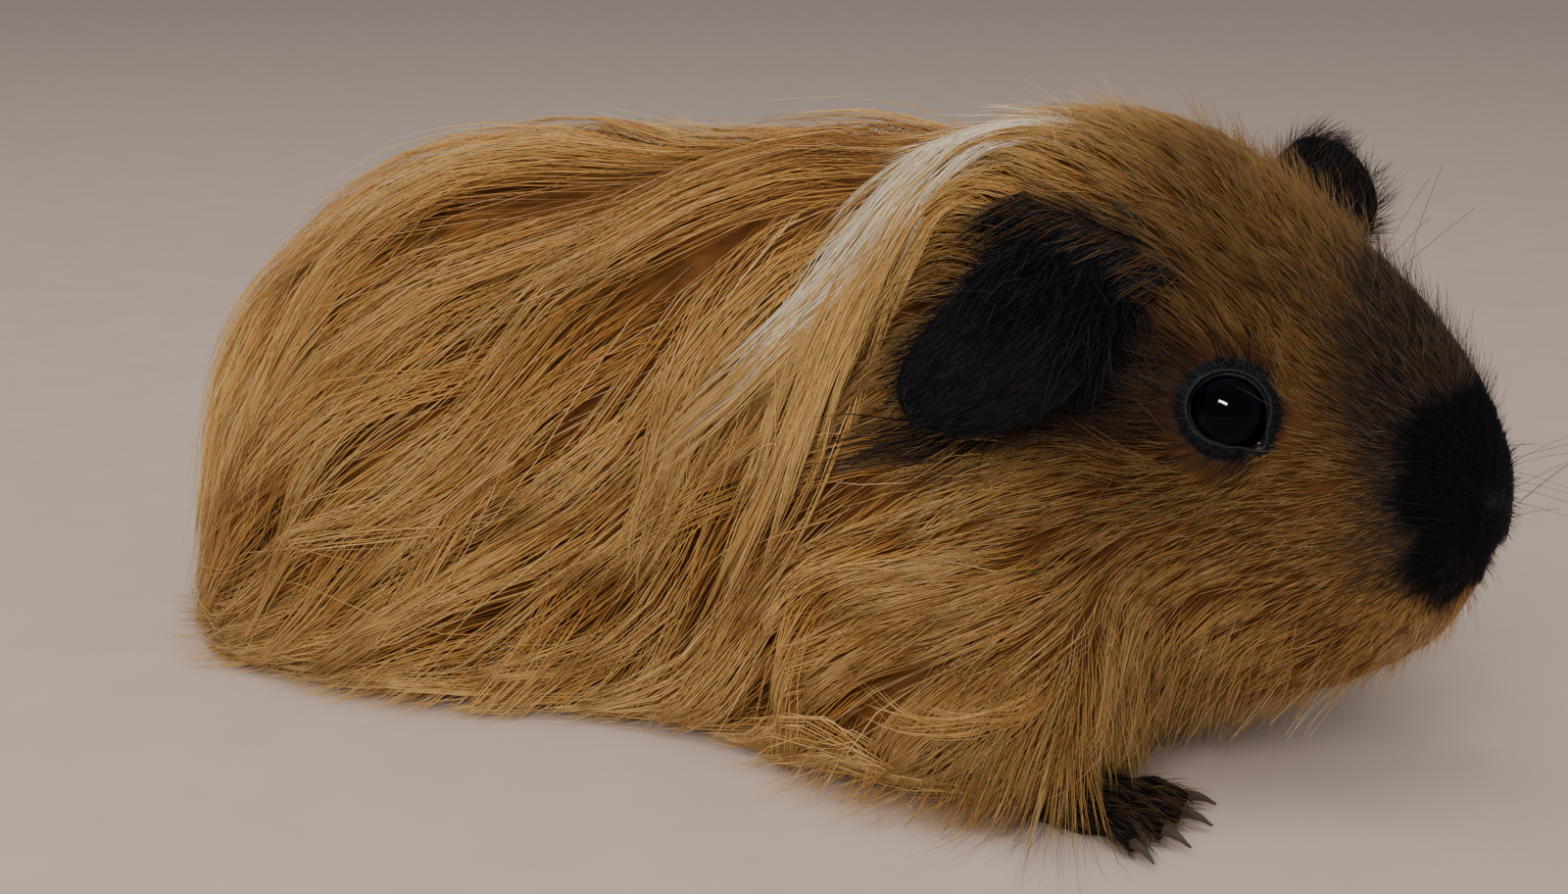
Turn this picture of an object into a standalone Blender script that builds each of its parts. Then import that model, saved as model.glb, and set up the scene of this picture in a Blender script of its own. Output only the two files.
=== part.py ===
"""Guinea pig lying at rest, life size, long silky coat. Millimetres below, metres in the scene.

The body is lofted whole, out to the tips of the coat, and parted with thin cuts.
+X is forward (nose), +Y is the animal's left, +Z is up, the floor is z = 0.
"""

import math

import bmesh
import bpy
import numpy as np
from mathutils import Matrix, Vector

MM = 0.001
GAP = 0.3
TRUNK_SIDES = 26
HEAD_SIDES = 22

# Trunk, from the rump to the chest below the chin.
# x, half width, top, bottom, level of the widest point, roundness above, roundness below.
TRUNK_ROWS = (
    (0.8, 3.0, 31.0, 25.0, 28.0, 2.1, 2.2),
    (2.4, 12.0, 41.5, 12.0, 27.0, 2.1, 3.0),
    (6.4, 21.0, 50.5, 4.2, 25.0, 2.1, 4.5),
    (14.0, 31.5, 59.2, 1.1, 24.0, 2.1, 6.0),
    (27.0, 42.6, 68.6, 0.5, 26.0, 2.1, 7.0),
    (44.0, 50.4, 77.0, 0.4, 30.0, 2.15, 7.0),
    (62.0, 53.0, 83.2, 0.4, 31.0, 2.15, 6.5),
    (77.0, 53.5, 86.6, 0.4, 32.0, 2.15, 6.0),
    (93.0, 51.5, 84.6, 0.4, 33.0, 2.15, 5.4),
    (109.0, 49.0, 87.6, 0.4, 34.0, 2.15, 4.6),
    (125.0, 48.0, 90.0, 0.5, 34.0, 2.15, 4.0),
    (140.0, 49.5, 88.2, 0.6, 33.0, 2.15, 3.6),
    (155.0, 48.8, 79.0, 0.8, 30.0, 2.15, 3.2),
    (168.0, 43.6, 64.0, 1.2, 26.0, 2.1, 3.0),
    (179.0, 35.0, 48.0, 2.1, 21.0, 2.1, 2.8),
    (186.0, 23.0, 33.0, 4.0, 17.0, 2.1, 2.5),
    (189.0, 11.0, 24.0, 8.0, 15.0, 2.1, 2.3),
    (190.0, 3.0, 17.0, 13.0, 15.0, 2.1, 2.1),
)

# Head and neck, along their own axis from inside the shoulders to the nose.
# x, half width, top, bottom, level of the widest point, roundness above, roundness below.
HEAD_ROWS = (
    (-16.0, 6.0, 58.0, 46.0, 52.0, 2.0, 2.0),
    (-15.0, 30.0, 80.0, 26.0, 50.0, 2.1, 2.2),
    (-8.0, 41.0, 87.4, 16.0, 46.0, 2.1, 2.4),
    (2.0, 44.0, 90.2, 11.0, 42.0, 2.1, 2.5),
    (13.0, 43.0, 91.6, 8.5, 38.0, 2.05, 2.5),
    (24.0, 39.5, 91.2, 7.5, 35.0, 1.95, 2.5),
    (35.0, 34.5, 88.8, 8.0, 34.0, 1.85, 2.4),
    (45.0, 29.0, 84.2, 9.5, 35.0, 1.80, 2.3),
    (54.0, 24.2, 78.4, 12.0, 36.0, 1.85, 2.3),
    (62.0, 20.2, 72.2, 15.5, 38.0, 1.95, 2.3),
    (68.5, 17.2, 66.0, 19.5, 39.5, 2.05, 2.3),
    (73.4, 14.8, 59.4, 23.0, 40.5, 2.15, 2.3),
    (76.8, 11.8, 53.2, 27.5, 41.0, 2.2, 2.3),
    (78.9, 8.0, 48.0, 33.0, 41.0, 2.2, 2.2),
    (79.6, 2.6, 43.2, 39.0, 41.0, 2.0, 2.0),
)
HEAD_ORIGIN = (150.0, 0.0)
HEAD_TURN = math.radians(-11.0)

# Swellings and hollows of the surface: centre, radii, height of the swelling. The body has them on both sides.
TRUNK_SWELLS = (
    ((36.0, 46.0, 5.0), (26.0, 18.0, 10.0), 5.5),
    ((82.0, 50.0, 4.0), (34.0, 16.0, 9.0), 3.5),
    ((64.0, 52.0, 30.0), (26.0, 18.0, 26.0), 3.6),
    ((112.0, 47.0, 16.0), (14.0, 12.0, 18.0), -3.4),
    ((112.0, 30.0, 72.0), (20.0, 16.0, 14.0), 1.4),
    ((138.0, 40.0, 50.0), (12.0, 16.0, 26.0), 2.6),
)
HEAD_SWELLS = (
    ((50.0, 21.5, 64.0), (9.0, 6.0, 5.0), 1.0),
    ((51.5, 21.5, 56.5), (6.5, 6.0, 6.5), -1.3),
    ((38.0, 33.0, 32.0), (14.0, 12.0, 14.0), 1.8),
    ((72.0, 15.0, 37.0), (6.0, 7.0, 7.0), 1.2),
    ((62.0, 18.0, 52.0), (8.0, 8.0, 8.0), -0.9),
    ((14.0, 40.0, 52.0), (9.0, 14.0, 14.0), -1.6),
)
AXIS_HEIGHT = 14.0
LOCK_DEPTH = 0.9
LOCK_WIDTH = 21.0

# Legs under their coat: centre, radii. The cut that parts each from the trunk is a little larger.
HAUNCH = ((62.0, 29.0, 25.0), (35.0, 28.5, 25.4))
ELBOW = ((160.5, 31.0, 18.6), (28.5, 26.3, 19.1))
LOBE_ROUND = 3.3
LEG_CUT_MARGIN = 1.6
LEG_CUT_SIDES = 16
LEG_ROOT_DEPTH = 12.0

# Feet: heel or wrist, reach and heading, and the toes fanned about that heading.
FORE_FOOT = dict(root=(178.0, 40.5), heading=3.0, palm=(9.5, 7.0, 4.6), toe_reach=8.6, toe_radius=2.0,
                 fan=(-34.0, -12.0, 11.0, 33.0), claw=4.4)
HIND_FOOT = dict(root=(62.0, 33.5), heading=2.0, palm=(20.0, 7.0, 4.4), toe_reach=9.6, toe_radius=2.3,
                 fan=(-19.0, 0.0, 19.0), claw=5.2)
CLAW_RADIUS = 0.95

# Eye, seen as far out as its lids.
EYE_CENTRE = (49.6, 17.4, 55.6)
EYE_RADIUS = 6.4

# Ear: a thin drooping petal. Points in the head's own axes.
EAR_ROOT_FRONT = (40.0, 22.0, 71.5)
EAR_ROOT_BACK = (21.0, 26.5, 80.5)
EAR_TIP_RIGHT = (14.0, 43.5, 52.0)
EAR_TIP_LEFT = (33.0, 45.0, 82.0)
EAR_HALF_WIDTH = 10.5
EAR_THICKNESS = 1.5

# Cuts across the whole body: a point and a facing (x, z).
SHOULDER_CUT = ((140.0, 88.0), (0.85, 0.527))
NAPE_CUT = ((160.0, 90.0), (0.88, 0.475))
NOSE_CUT = ((79.5, 0.0, 45.0), (9.0, 11.0, 9.0))
JAW_CUT = ((70.0, 0.0, 21.0), (12.0, 14.0, 9.0))

COLOURS = {
    "coat_ginger": ((0.42, 0.17, 0.045), 0.75),
    "coat_face": ((0.33, 0.12, 0.035), 0.78),
    "coat_black": ((0.018, 0.014, 0.013), 0.8),
    "coat_pale": ((0.55, 0.30, 0.12), 0.78),
    "ear_black": ((0.022, 0.02, 0.022), 0.6),
    "eye_black": ((0.006, 0.005, 0.006), 0.08),
    "claw_dark": ((0.05, 0.038, 0.03), 0.4),
}


def remove_everything():
    for obj in list(bpy.data.objects):
        bpy.data.objects.remove(obj, do_unlink=True)


def material(name):
    found = bpy.data.materials.get(name)
    if found:
        return found
    colour, roughness = COLOURS[name]
    made = bpy.data.materials.new(name)
    made.use_nodes = True
    shader = made.node_tree.nodes["Principled BSDF"]
    shader.inputs["Base Color"].default_value = (*colour, 1.0)
    shader.inputs["Roughness"].default_value = roughness
    return made


def add_mesh(name, points, faces, colour="coat_ginger"):
    """A closed object from points in millimetres."""
    mesh = bpy.data.meshes.new(name)
    mesh.from_pydata([tuple(p) for p in np.asarray(points) * MM], [], [tuple(f) for f in faces])
    face_outward(mesh)
    mesh.materials.append(material(colour))
    obj = bpy.data.objects.new(name, mesh)
    bpy.context.scene.collection.objects.link(obj)
    return obj


def face_outward(mesh):
    work = bmesh.new()
    work.from_mesh(mesh)
    bmesh.ops.triangulate(work, faces=work.faces[:])
    bmesh.ops.recalc_face_normals(work, faces=work.faces[:])
    if work.calc_volume(signed=True) < 0:
        bmesh.ops.reverse_faces(work, faces=work.faces[:])
    work.to_mesh(mesh)
    work.free()


def through(rows, steps):
    """Rows of numbers with steps - 1 more between each pair, on a smooth curve through them."""
    rows = np.array(rows, float)
    padded = np.vstack([2 * rows[0] - rows[1], rows, 2 * rows[-1] - rows[-2]])
    out = []
    for i in range(len(rows) - 1):
        a, b, c, d = padded[i:i + 4]
        for step in range(steps):
            t = step / steps
            out.append(0.5 * (2 * b + (c - a) * t + (2 * a - 5 * b + 4 * c - d) * t ** 2
                              + (3 * b - a - 3 * c + d) * t ** 3))
    out.append(rows[-1])
    return np.array(out)


def ring(x, half_width, top, bottom, level, above, below, sides):
    """One rounded cross-section, as an array of points in the plane of this x."""
    turn = np.linspace(0, 2 * np.pi, sides, endpoint=False)
    across, rise = np.cos(turn), np.sin(turn)
    power = np.where(rise >= 0, 2 / above, 2 / below)
    height = np.where(rise >= 0, top - level, level - bottom)
    y = half_width * np.sign(across) * np.abs(across) ** power
    z = level + height * np.sign(rise) * np.abs(rise) ** power
    return np.stack([np.full(sides, x), y, z], axis=1)


def skin_rings(rings):
    """Points and faces of a closed body through rings of equal count."""
    sides = len(rings[0])
    points = np.vstack(rings + [rings[0].mean(axis=0)[None], rings[-1].mean(axis=0)[None]])
    first, last = len(points) - 2, len(points) - 1
    faces = []
    for i in range(len(rings) - 1):
        for j in range(sides):
            k = (j + 1) % sides
            faces.append((i * sides + j, i * sides + k, (i + 1) * sides + k, (i + 1) * sides + j))
    end = (len(rings) - 1) * sides
    for j in range(sides):
        k = (j + 1) % sides
        faces.append((first, k, j))
        faces.append((last, end + j, end + k))
    return points, faces


def away_from_axis(points):
    """Unit directions across the body, from its middle line out."""
    out = points - np.array([0, 0, AXIS_HEIGHT])
    out[:, 0] = 0
    return out / (np.linalg.norm(out, axis=1, keepdims=True) + 1e-9)


def swell(points, swells):
    """Moves points outward, away from the body's axis, by each swelling and its mirror."""
    outward = away_from_axis(points)
    lift = np.zeros(len(points))
    for centre, radii, height in swells:
        for side in (-1, 1):
            off = (points - np.array(centre) * [1, side, 1]) / radii
            lift += height * np.exp(-(off ** 2).sum(axis=1))
    return points + outward * lift[:, None]


def lock_relief(points):
    """Long locks fall back and down from the spine: shallow ridges that slant the same way."""
    x, y, z = points.T
    fall = x + 0.55 * z
    ridge = np.cos(2 * np.pi * (fall + 5.0 * np.sin(z / 17.0) + 0.08 * y) / LOCK_WIDTH)
    fade = np.clip((x - 6) / 22, 0, 1) * np.clip((176 - x) / 30, 0, 1) * np.clip((z - 2) / 9, 0, 1)
    fade *= np.clip(np.abs(y) / 20, 0.15, 1)
    return points + away_from_axis(points) * (LOCK_DEPTH * ridge * fade)[:, None]


def head_to_body(points):
    """From the head's own axes to the body's."""
    points = np.atleast_2d(np.asarray(points, float))
    c, s = math.cos(HEAD_TURN), math.sin(HEAD_TURN)
    x = HEAD_ORIGIN[0] + points[:, 0] * c - points[:, 1] * s
    y = HEAD_ORIGIN[1] + points[:, 0] * s + points[:, 1] * c
    return np.stack([x, y, points[:, 2]], axis=1)


def trunk_loft():
    rings = [ring(*row, TRUNK_SIDES) for row in through(TRUNK_ROWS, 2)]
    points, faces = skin_rings(rings)
    return add_mesh("whole", lock_relief(swell(points, TRUNK_SWELLS)), faces)


def head_loft():
    rings = [ring(*row, HEAD_SIDES) for row in through(HEAD_ROWS, 2)]
    points, faces = skin_rings(rings)
    return add_mesh("head_whole", head_to_body(swell(points, HEAD_SWELLS)), faces)


def lobe(name, centre, radii, round_by=2.0, sides=12, bands=7):
    """A rounded lobe (an ellipsoid when round_by is 2)."""
    rings = []
    for band in range(1, bands):
        polar = math.pi * band / bands
        out = math.sin(polar) ** (2 / round_by)
        rise = math.copysign(abs(math.cos(polar)) ** (2 / round_by), math.cos(polar))
        turn = np.linspace(0, 2 * np.pi, sides, endpoint=False)
        x = np.sign(np.cos(turn)) * np.abs(np.cos(turn)) ** (2 / round_by)
        y = np.sign(np.sin(turn)) * np.abs(np.sin(turn)) ** (2 / round_by)
        rings.append(np.stack([x * out, y * out, np.full(sides, rise)], axis=1))
    points, faces = skin_rings(rings)
    points[-2] = (0, 0, 1)
    points[-1] = (0, 0, -1)
    return add_mesh(name, points * radii + centre, faces)


def boolean(target, tool, operation):
    step = target.modifiers.new("cut", "BOOLEAN")
    step.operation = operation
    step.solver = "EXACT"
    step.object = tool
    graph = bpy.context.evaluated_depsgraph_get()
    mesh = bpy.data.meshes.new_from_object(target.evaluated_get(graph))
    target.modifiers.clear()
    old = target.data
    target.data = mesh
    bpy.data.meshes.remove(old)
    return target


def copy_of(obj, name):
    twin = bpy.data.objects.new(name, obj.data.copy())
    bpy.context.scene.collection.objects.link(twin)
    return twin


def drop(obj):
    bpy.data.objects.remove(obj, do_unlink=True)


def grown(obj, by):
    """A copy of a closed object, larger by this much all round."""
    twin = copy_of(obj, "grown")
    work = bmesh.new()
    work.from_mesh(twin.data)
    bmesh.ops.remove_doubles(work, verts=work.verts[:], dist=1e-7)
    work.normal_update()
    shifts = [v.normal * (by * MM) for v in work.verts]
    for vert, shift in zip(work.verts, shifts):
        vert.co += shift
    work.to_mesh(twin.data)
    work.free()
    return twin


def carve(target, tool, by=GAP):
    """Cuts the tool's room, with a gap round it, out of the target."""
    room = grown(tool, by)
    boolean(target, room, "DIFFERENCE")
    drop(room)


def wrapping(solids, by):
    """One convex wrapper round some objects, standing off from them by this much."""
    work = bmesh.new()
    for solid in solids:
        twin = grown(solid, by)
        for vert in twin.data.vertices:
            work.verts.new(vert.co)
        drop(twin)
    hull = bmesh.ops.convex_hull(work, input=work.verts[:])
    loose = [item for item in hull["geom_interior"] if isinstance(item, bmesh.types.BMVert)]
    bmesh.ops.delete(work, geom=loose, context="VERTS")
    bmesh.ops.recalc_face_normals(work, faces=work.faces[:])
    mesh = bpy.data.meshes.new("room")
    work.to_mesh(mesh)
    work.free()
    room = bpy.data.objects.new("room", mesh)
    bpy.context.scene.collection.objects.link(room)
    return room


def half_space(point, facing, offset):
    """A huge block on the far side of a plane that leans in x and z."""
    size = 0.6
    bpy.ops.mesh.primitive_cube_add(size=size)
    block = bpy.context.object
    direction = Vector((facing[0], 0, facing[1])).normalized()
    turn = Vector((1, 0, 0)).rotation_difference(direction).to_matrix().to_4x4()
    spot = Vector((point[0], 0, point[1])) * MM + direction * (size / 2 + offset * MM)
    block.data.transform(Matrix.Translation(spot) @ turn)
    return block


def parted(whole, cut, name):
    """Takes the part in front of a cut off the whole, leaving a gap. Returns that part."""
    point, facing = cut
    front = copy_of(whole, name)
    keep = half_space(point, facing, GAP / 2)
    boolean(front, keep, "INTERSECT")
    drop(keep)
    away = half_space(point, facing, -GAP / 2)
    boolean(whole, away, "DIFFERENCE")
    drop(away)
    return front


def taken_out(whole, cutter, name):
    """The part of the whole inside the cutter, with a gap left round it."""
    part = copy_of(whole, name)
    boolean(part, cutter, "INTERSECT")
    carve(whole, cutter)
    drop(cutter)
    return part


def colour_it(obj, colour):
    obj.data.materials.clear()
    obj.data.materials.append(material(colour))
    for polygon in obj.data.polygons:
        polygon.material_index = 0
    return obj


def tube(name, path, radii, sides=8, flatten=1.0, colour="coat_black"):
    """A tapered closed limb along a path of points."""
    path = np.array(path, float)
    rings = []
    for i, (spot, radius) in enumerate(zip(path, radii)):
        ahead = path[min(i + 1, len(path) - 1)] - path[max(i - 1, 0)]
        ahead /= np.linalg.norm(ahead)
        side = np.cross([0, 0, 1], ahead)
        side /= np.linalg.norm(side)
        up = np.cross(ahead, side)
        turn = np.linspace(0, 2 * np.pi, sides, endpoint=False)
        rings.append(spot + radius * (np.cos(turn)[:, None] * side + flatten * np.sin(turn)[:, None] * up))
    points, faces = skin_rings(rings)
    return add_mesh(name, points, faces, colour)


def heading_of(degrees, side):
    turn = math.radians(degrees)
    return np.array([math.cos(turn), side * math.sin(turn), 0.0])


def foot(name, claw_name, plan, side):
    """A foot with a flat sole and its toes, then its claws in front of them, in one list."""
    root = np.array([plan["root"][0], side * plan["root"][1], 0.0])
    length, width, height = plan["palm"]
    along = heading_of(plan["heading"], side)
    middle = root + along * length * 0.5 + [0, 0, height * 0.55]
    body = lobe(name, (0, 0, 0), (length, width, height), 2.2, 9, 5)
    turn = Matrix.Rotation(math.radians(plan["heading"]) * side, 4, "Z")
    body.data.transform(Matrix.Translation(Vector(middle) * MM) @ turn)
    knuckles = root + along * length * 0.95
    claws = []
    for number, spread in enumerate(plan["fan"], 1):
        toward = heading_of(plan["heading"] + spread, side)
        radius = plan["toe_radius"]
        reach = plan["toe_reach"] * math.cos(math.radians(spread) * 0.6)
        base = knuckles + heading_of(90 + plan["heading"], side) * (spread / 34.0) * width * 0.62
        spots = [base - toward * 3 + [0, 0, radius * 1.5],
                 base + toward * reach * 0.45 + [0, 0, radius * 1.7],
                 base + toward * reach + [0, 0, radius * 0.95]]
        toe = tube("toe", spots, [radius * 0.9, radius * 1.12, radius * 0.72], 6)
        boolean(body, toe, "UNION")
        drop(toe)
        claws.append(claw(f"{claw_name}_{number}", spots[-1], toward, plan["claw"]))
    stand_flat(body)
    return [colour_it(body, "coat_black"), *claws]


def stand_flat(obj):
    """Cuts off what is below the floor, which leaves a small flat."""
    ground = half_space((0, 0), (0, -1), 0)
    boolean(obj, ground, "DIFFERENCE")
    drop(ground)


def claw(name, tip, toward, length):
    start = tip + toward * (CLAW_RADIUS * 0.6 + GAP) + [0, 0, 0.1]
    spots = [start, start + toward * length * 0.55 + [0, 0, -0.1], start + toward * length * 0.95 + [0, 0, -0.8]]
    return tube(name, spots, [CLAW_RADIUS, CLAW_RADIUS * 0.78, CLAW_RADIUS * 0.22], 5, 1.1, "claw_dark")


def ear(name, side, tip):
    """A thin cupped petal that droops back and out from its root along the side of the crown."""
    front = np.array(EAR_ROOT_FRONT)
    back = np.array(EAR_ROOT_BACK)
    tip = np.array(tip)
    middle = (front + back) / 2
    down = tip - middle
    length = np.linalg.norm(down)
    along_root = (front - back) / np.linalg.norm(front - back)
    outward = np.cross(along_root, down / length)
    outward *= np.sign(outward[1]) / np.linalg.norm(outward)
    rings = []
    rows = 8
    for i in range(rows):
        t = (i + 0.25) / (rows - 0.5)
        width = EAR_HALF_WIDTH * ear_outline(t)
        bow = 5.0 * math.sin(math.pi * t) ** 1.2
        centre = middle + down * t + outward * bow + along_root * 3.2 * math.sin(math.pi * t)
        thick = EAR_THICKNESS * (1.5 - 0.9 * t)
        sides = 12
        turn = np.linspace(0, 2 * np.pi, sides, endpoint=False)
        across = np.cos(turn) * width
        curl = -0.022 * across ** 2
        rings.append(centre + across[:, None] * along_root + (curl + np.sin(turn) * thick / 2)[:, None] * outward)
    points, faces = skin_rings(rings)
    points = points * [1, side, 1]
    return add_mesh(name, head_to_body(points), faces, "ear_black")


def ear_outline(t):
    """Half width of the petal along its length: full near the middle, round at the tip."""
    return (0.72 + 0.9 * t - 0.62 * t ** 2) * math.sqrt(max(1 - t ** 5, 0.0004))


def eye(name, side):
    spot = head_to_body(np.array(EYE_CENTRE) * [1, side, 1])[0]
    return colour_it(lobe(name, spot, (EYE_RADIUS,) * 3, 2.0, 12, 7), "eye_black")


def leg_bulge(shape, side):
    centre, radii = shape
    return lobe("bulge", np.array(centre) * [1, side, 1], radii, LOBE_ROUND)


def leg_cutter(shape, side):
    """A block with the leg's outline seen from the side, from near the middle of the body out."""
    centre, radii = shape
    turn = np.linspace(0, 2 * np.pi, LEG_CUT_SIDES, endpoint=False)
    x = centre[0] + (radii[0] + LEG_CUT_MARGIN) * np.cos(turn)
    z = centre[2] + (radii[2] + LEG_CUT_MARGIN) * np.sin(turn)
    reach = centre[1] + radii[1] + 20
    rings = [np.stack([x, np.full(len(x), side * y), z], axis=1) for y in (LEG_ROOT_DEPTH, reach)]
    points, faces = skin_rings(rings)
    return add_mesh("cutter", points, faces)


def head_lobe(name, shape):
    centre, radii = shape
    return lobe(name, head_to_body(centre)[0], radii, 2.2, 12, 6)


def build_whole():
    whole = trunk_loft()
    head = head_loft()
    boolean(whole, head, "UNION")
    drop(head)
    for shape in (HAUNCH, ELBOW):
        for side in (-1, 1):
            bulge = leg_bulge(shape, side)
            boolean(whole, bulge, "UNION")
            drop(bulge)
    stand_flat(whole)
    return whole


def build():
    remove_everything()
    whole = build_whole()
    sides = {"right": -1, "left": 1}
    feet = []
    legs = []
    for word, side in sides.items():
        fore = taken_out(whole, leg_cutter(ELBOW, side), f"foreleg_{word}")
        hind = taken_out(whole, leg_cutter(HAUNCH, side), f"hindleg_{word}")
        legs += [fore, hind]
        feet.append(foot(f"forefoot_{word}", f"claw_fore_{word}", FORE_FOOT, side))
        feet.append(foot(f"hindfoot_{word}", f"claw_hind_{word}", HIND_FOOT, side))
    head = parted(whole, SHOULDER_CUT, "front")
    trunk = whole
    trunk.name = "trunk"
    neck = head
    head = parted(neck, NAPE_CUT, "head")
    neck.name = "neck"
    nose = taken_out(head, head_lobe("cutter", NOSE_CUT), "nose")
    jaw = taken_out(head, head_lobe("cutter", JAW_CUT), "lower_jaw")
    for word, side in sides.items():
        carve(head, eye(f"eye_{word}", side))
        petal = ear(f"ear_{word}", side, EAR_TIP_RIGHT if side < 0 else EAR_TIP_LEFT)
        for flesh in (head, neck):
            carve(flesh, petal)
    for paw in feet:
        room = wrapping(paw, GAP)
        for flesh in (trunk, *legs):
            boolean(flesh, room, "DIFFERENCE")
        drop(room)
    for flesh, colour in ((head, "coat_face"), (nose, "coat_black"), (jaw, "coat_pale")):
        colour_it(flesh, colour)
    stand_on_origin()


def stand_on_origin():
    """Puts the middle of the body's bounding box over the origin."""
    solids = [obj for obj in bpy.data.objects if obj.type == "MESH"]
    points = np.array([obj.matrix_world @ v.co for obj in solids for v in obj.data.vertices])
    middle = (points.min(axis=0) + points.max(axis=0)) / 2
    for obj in solids:
        obj.location -= Vector((middle[0], middle[1], 0))


build()
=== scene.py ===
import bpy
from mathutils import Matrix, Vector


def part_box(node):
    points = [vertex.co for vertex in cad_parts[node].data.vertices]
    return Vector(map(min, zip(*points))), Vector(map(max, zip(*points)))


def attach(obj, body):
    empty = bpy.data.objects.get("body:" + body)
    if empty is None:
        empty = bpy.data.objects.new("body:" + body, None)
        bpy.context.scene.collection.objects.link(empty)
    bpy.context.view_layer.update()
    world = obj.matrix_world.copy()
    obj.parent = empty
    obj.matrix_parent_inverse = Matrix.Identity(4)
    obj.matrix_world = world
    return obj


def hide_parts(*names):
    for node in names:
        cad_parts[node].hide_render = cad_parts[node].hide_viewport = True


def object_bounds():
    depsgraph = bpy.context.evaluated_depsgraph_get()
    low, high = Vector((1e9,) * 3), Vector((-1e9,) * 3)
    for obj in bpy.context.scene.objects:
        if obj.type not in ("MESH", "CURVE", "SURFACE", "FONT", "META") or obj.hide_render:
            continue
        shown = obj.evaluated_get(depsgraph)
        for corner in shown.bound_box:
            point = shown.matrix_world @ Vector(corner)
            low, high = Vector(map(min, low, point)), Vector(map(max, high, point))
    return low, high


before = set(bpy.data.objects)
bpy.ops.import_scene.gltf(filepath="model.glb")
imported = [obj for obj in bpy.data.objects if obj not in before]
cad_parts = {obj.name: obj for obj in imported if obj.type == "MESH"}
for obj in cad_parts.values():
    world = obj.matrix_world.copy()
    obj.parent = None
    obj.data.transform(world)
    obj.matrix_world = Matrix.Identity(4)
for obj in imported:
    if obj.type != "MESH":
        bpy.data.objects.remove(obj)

# A long-haired guinea pig lying at rest. Places are in millimetres of the frame, and turn to metres only
# when a mesh is made. One skin lies under the coat; the coat is tens of thousands of fine tapered tufts.

import copy
import itertools
import math

import bmesh
import bpy
import numpy as np
from mathutils import Matrix, Vector
from mathutils.bvhtree import BVHTree

CAD_BOX = [list(corner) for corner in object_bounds()]
MM = 0.001
TUFT_OFF_FLOOR = 0.15
TIP_OFF_FLOOR = 0.4

FLESH = ("trunk", "neck", "head", "nose", "lower_jaw",
         "foreleg_left", "foreleg_right", "hindleg_left", "hindleg_right")
FEET = ("forefoot_left", "forefoot_right", "hindfoot_left", "hindfoot_right")
EARS = ("ear_left", "ear_right")
EYES = ("eye_left", "eye_right")
CLAWS = [name for name in sorted(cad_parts) if name.startswith("claw_")]


def middle(node):
    low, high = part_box(node)
    return np.array((low + high) / 2) / MM


def unit(vectors):
    return vectors / (np.linalg.norm(vectors, axis=-1, keepdims=True) + 1e-9)


def smooth(value, start, end):
    """0 before start, 1 after end, smooth between."""
    t = np.clip((value - start) / (end - start), 0, 1)
    return t * t * (3 - 2 * t)


def window(value, start, opened, closing, end):
    """0 outside start to end, 1 between opened and closing, smooth between."""
    return smooth(value, start, opened) * smooth(value, end, closing)


def by_table(value, table):
    """What a table of (value, result) rows says, with straight runs between its rows."""
    return np.interp(value, *zip(*table))


# The head has its own axes, found from the eyes: x ahead to the nose, y to the animal's left, z up.
EYE_REACH = 49.6
BETWEEN_EYES = (middle("eye_left") + middle("eye_right")) / 2
ACROSS = unit((middle("eye_left") - middle("eye_right")) * [1, 1, 0])
AHEAD = np.array([ACROSS[1], -ACROSS[0], 0])
HEAD_ROOT = (BETWEEN_EYES - EYE_REACH * AHEAD) * [1, 1, 0]
RUMP_X = CAD_BOX[0][0] / MM


UP = np.array((0, 0, 1.0))


def to_head(points):
    off = np.asarray(points, float) - HEAD_ROOT
    return np.stack([off @ AHEAD, off @ ACROSS, off[..., 2]], axis=-1)


def from_head(points):
    points = np.asarray(points, float)
    return HEAD_ROOT + points[..., :1] * AHEAD + points[..., 1:2] * ACROSS + points[..., 2:] * UP


def from_rump(points):
    """Distance ahead of the rump, in millimetres."""
    return points[..., 0] - RUMP_X


EYE_SHIFT = (-0.4, 0.95, -1.0)   # from the CAD eye's middle: ahead, outward, up
EYE_RADIUS = 6.0


def eye_axes(node):
    """An eye's middle and its own axes: out, ahead and up."""
    side = 1 if node.endswith("left") else -1
    out = unit(0.52 * AHEAD + side * ACROSS + np.array([0, 0, 0.36]))
    ahead = unit(AHEAD - (AHEAD @ out) * out)
    up = np.cross(out, ahead)
    centre = middle(node) + EYE_SHIFT[0] * AHEAD + EYE_SHIFT[1] * out + np.array([0, 0, EYE_SHIFT[2]])
    return centre, out, ahead, up * np.sign(up[2])


EYE_AXES = {node: eye_axes(node) for node in EYES}


def off_eye(points):
    """Distance from the axis of the nearer eye, counted only on that eye's side of the head."""
    found = np.full(points.shape[:-1], 99.0)
    for centre, out, _, _ in EYE_AXES.values():
        off = points - centre
        along = off @ out
        gap = np.linalg.norm(off - along[..., None] * out, axis=-1)
        found = np.minimum(found, np.where(along > -2, gap, 99.0))
    return found


def blended(values, cell, part):
    """What a grid holds at these cells, blended towards the next ones by these parts of a cell."""
    total = 0
    for corner in itertools.product((0, 1), repeat=3):
        share = np.prod(np.where(corner, part, 1 - part), axis=-1)
        at = np.moveaxis((cell + corner) % values.shape[:3], -1, 0)
        found = values[tuple(at)]
        total = total + share.reshape(share.shape + (1,) * (found.ndim - share.ndim)) * found
    return total


LATTICE = np.random.default_rng(11).uniform(-1, 1, (32, 32, 32))


def drift(points, size, shift=0.0):
    """Smooth noise from -1 to 1, with swells about this size in millimetres."""
    spot = np.asarray(points, float) / size + shift
    cell = np.floor(spot).astype(int)
    part = spot - cell
    return blended(LATTICE, cell, part * part * (3 - 2 * part))


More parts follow.
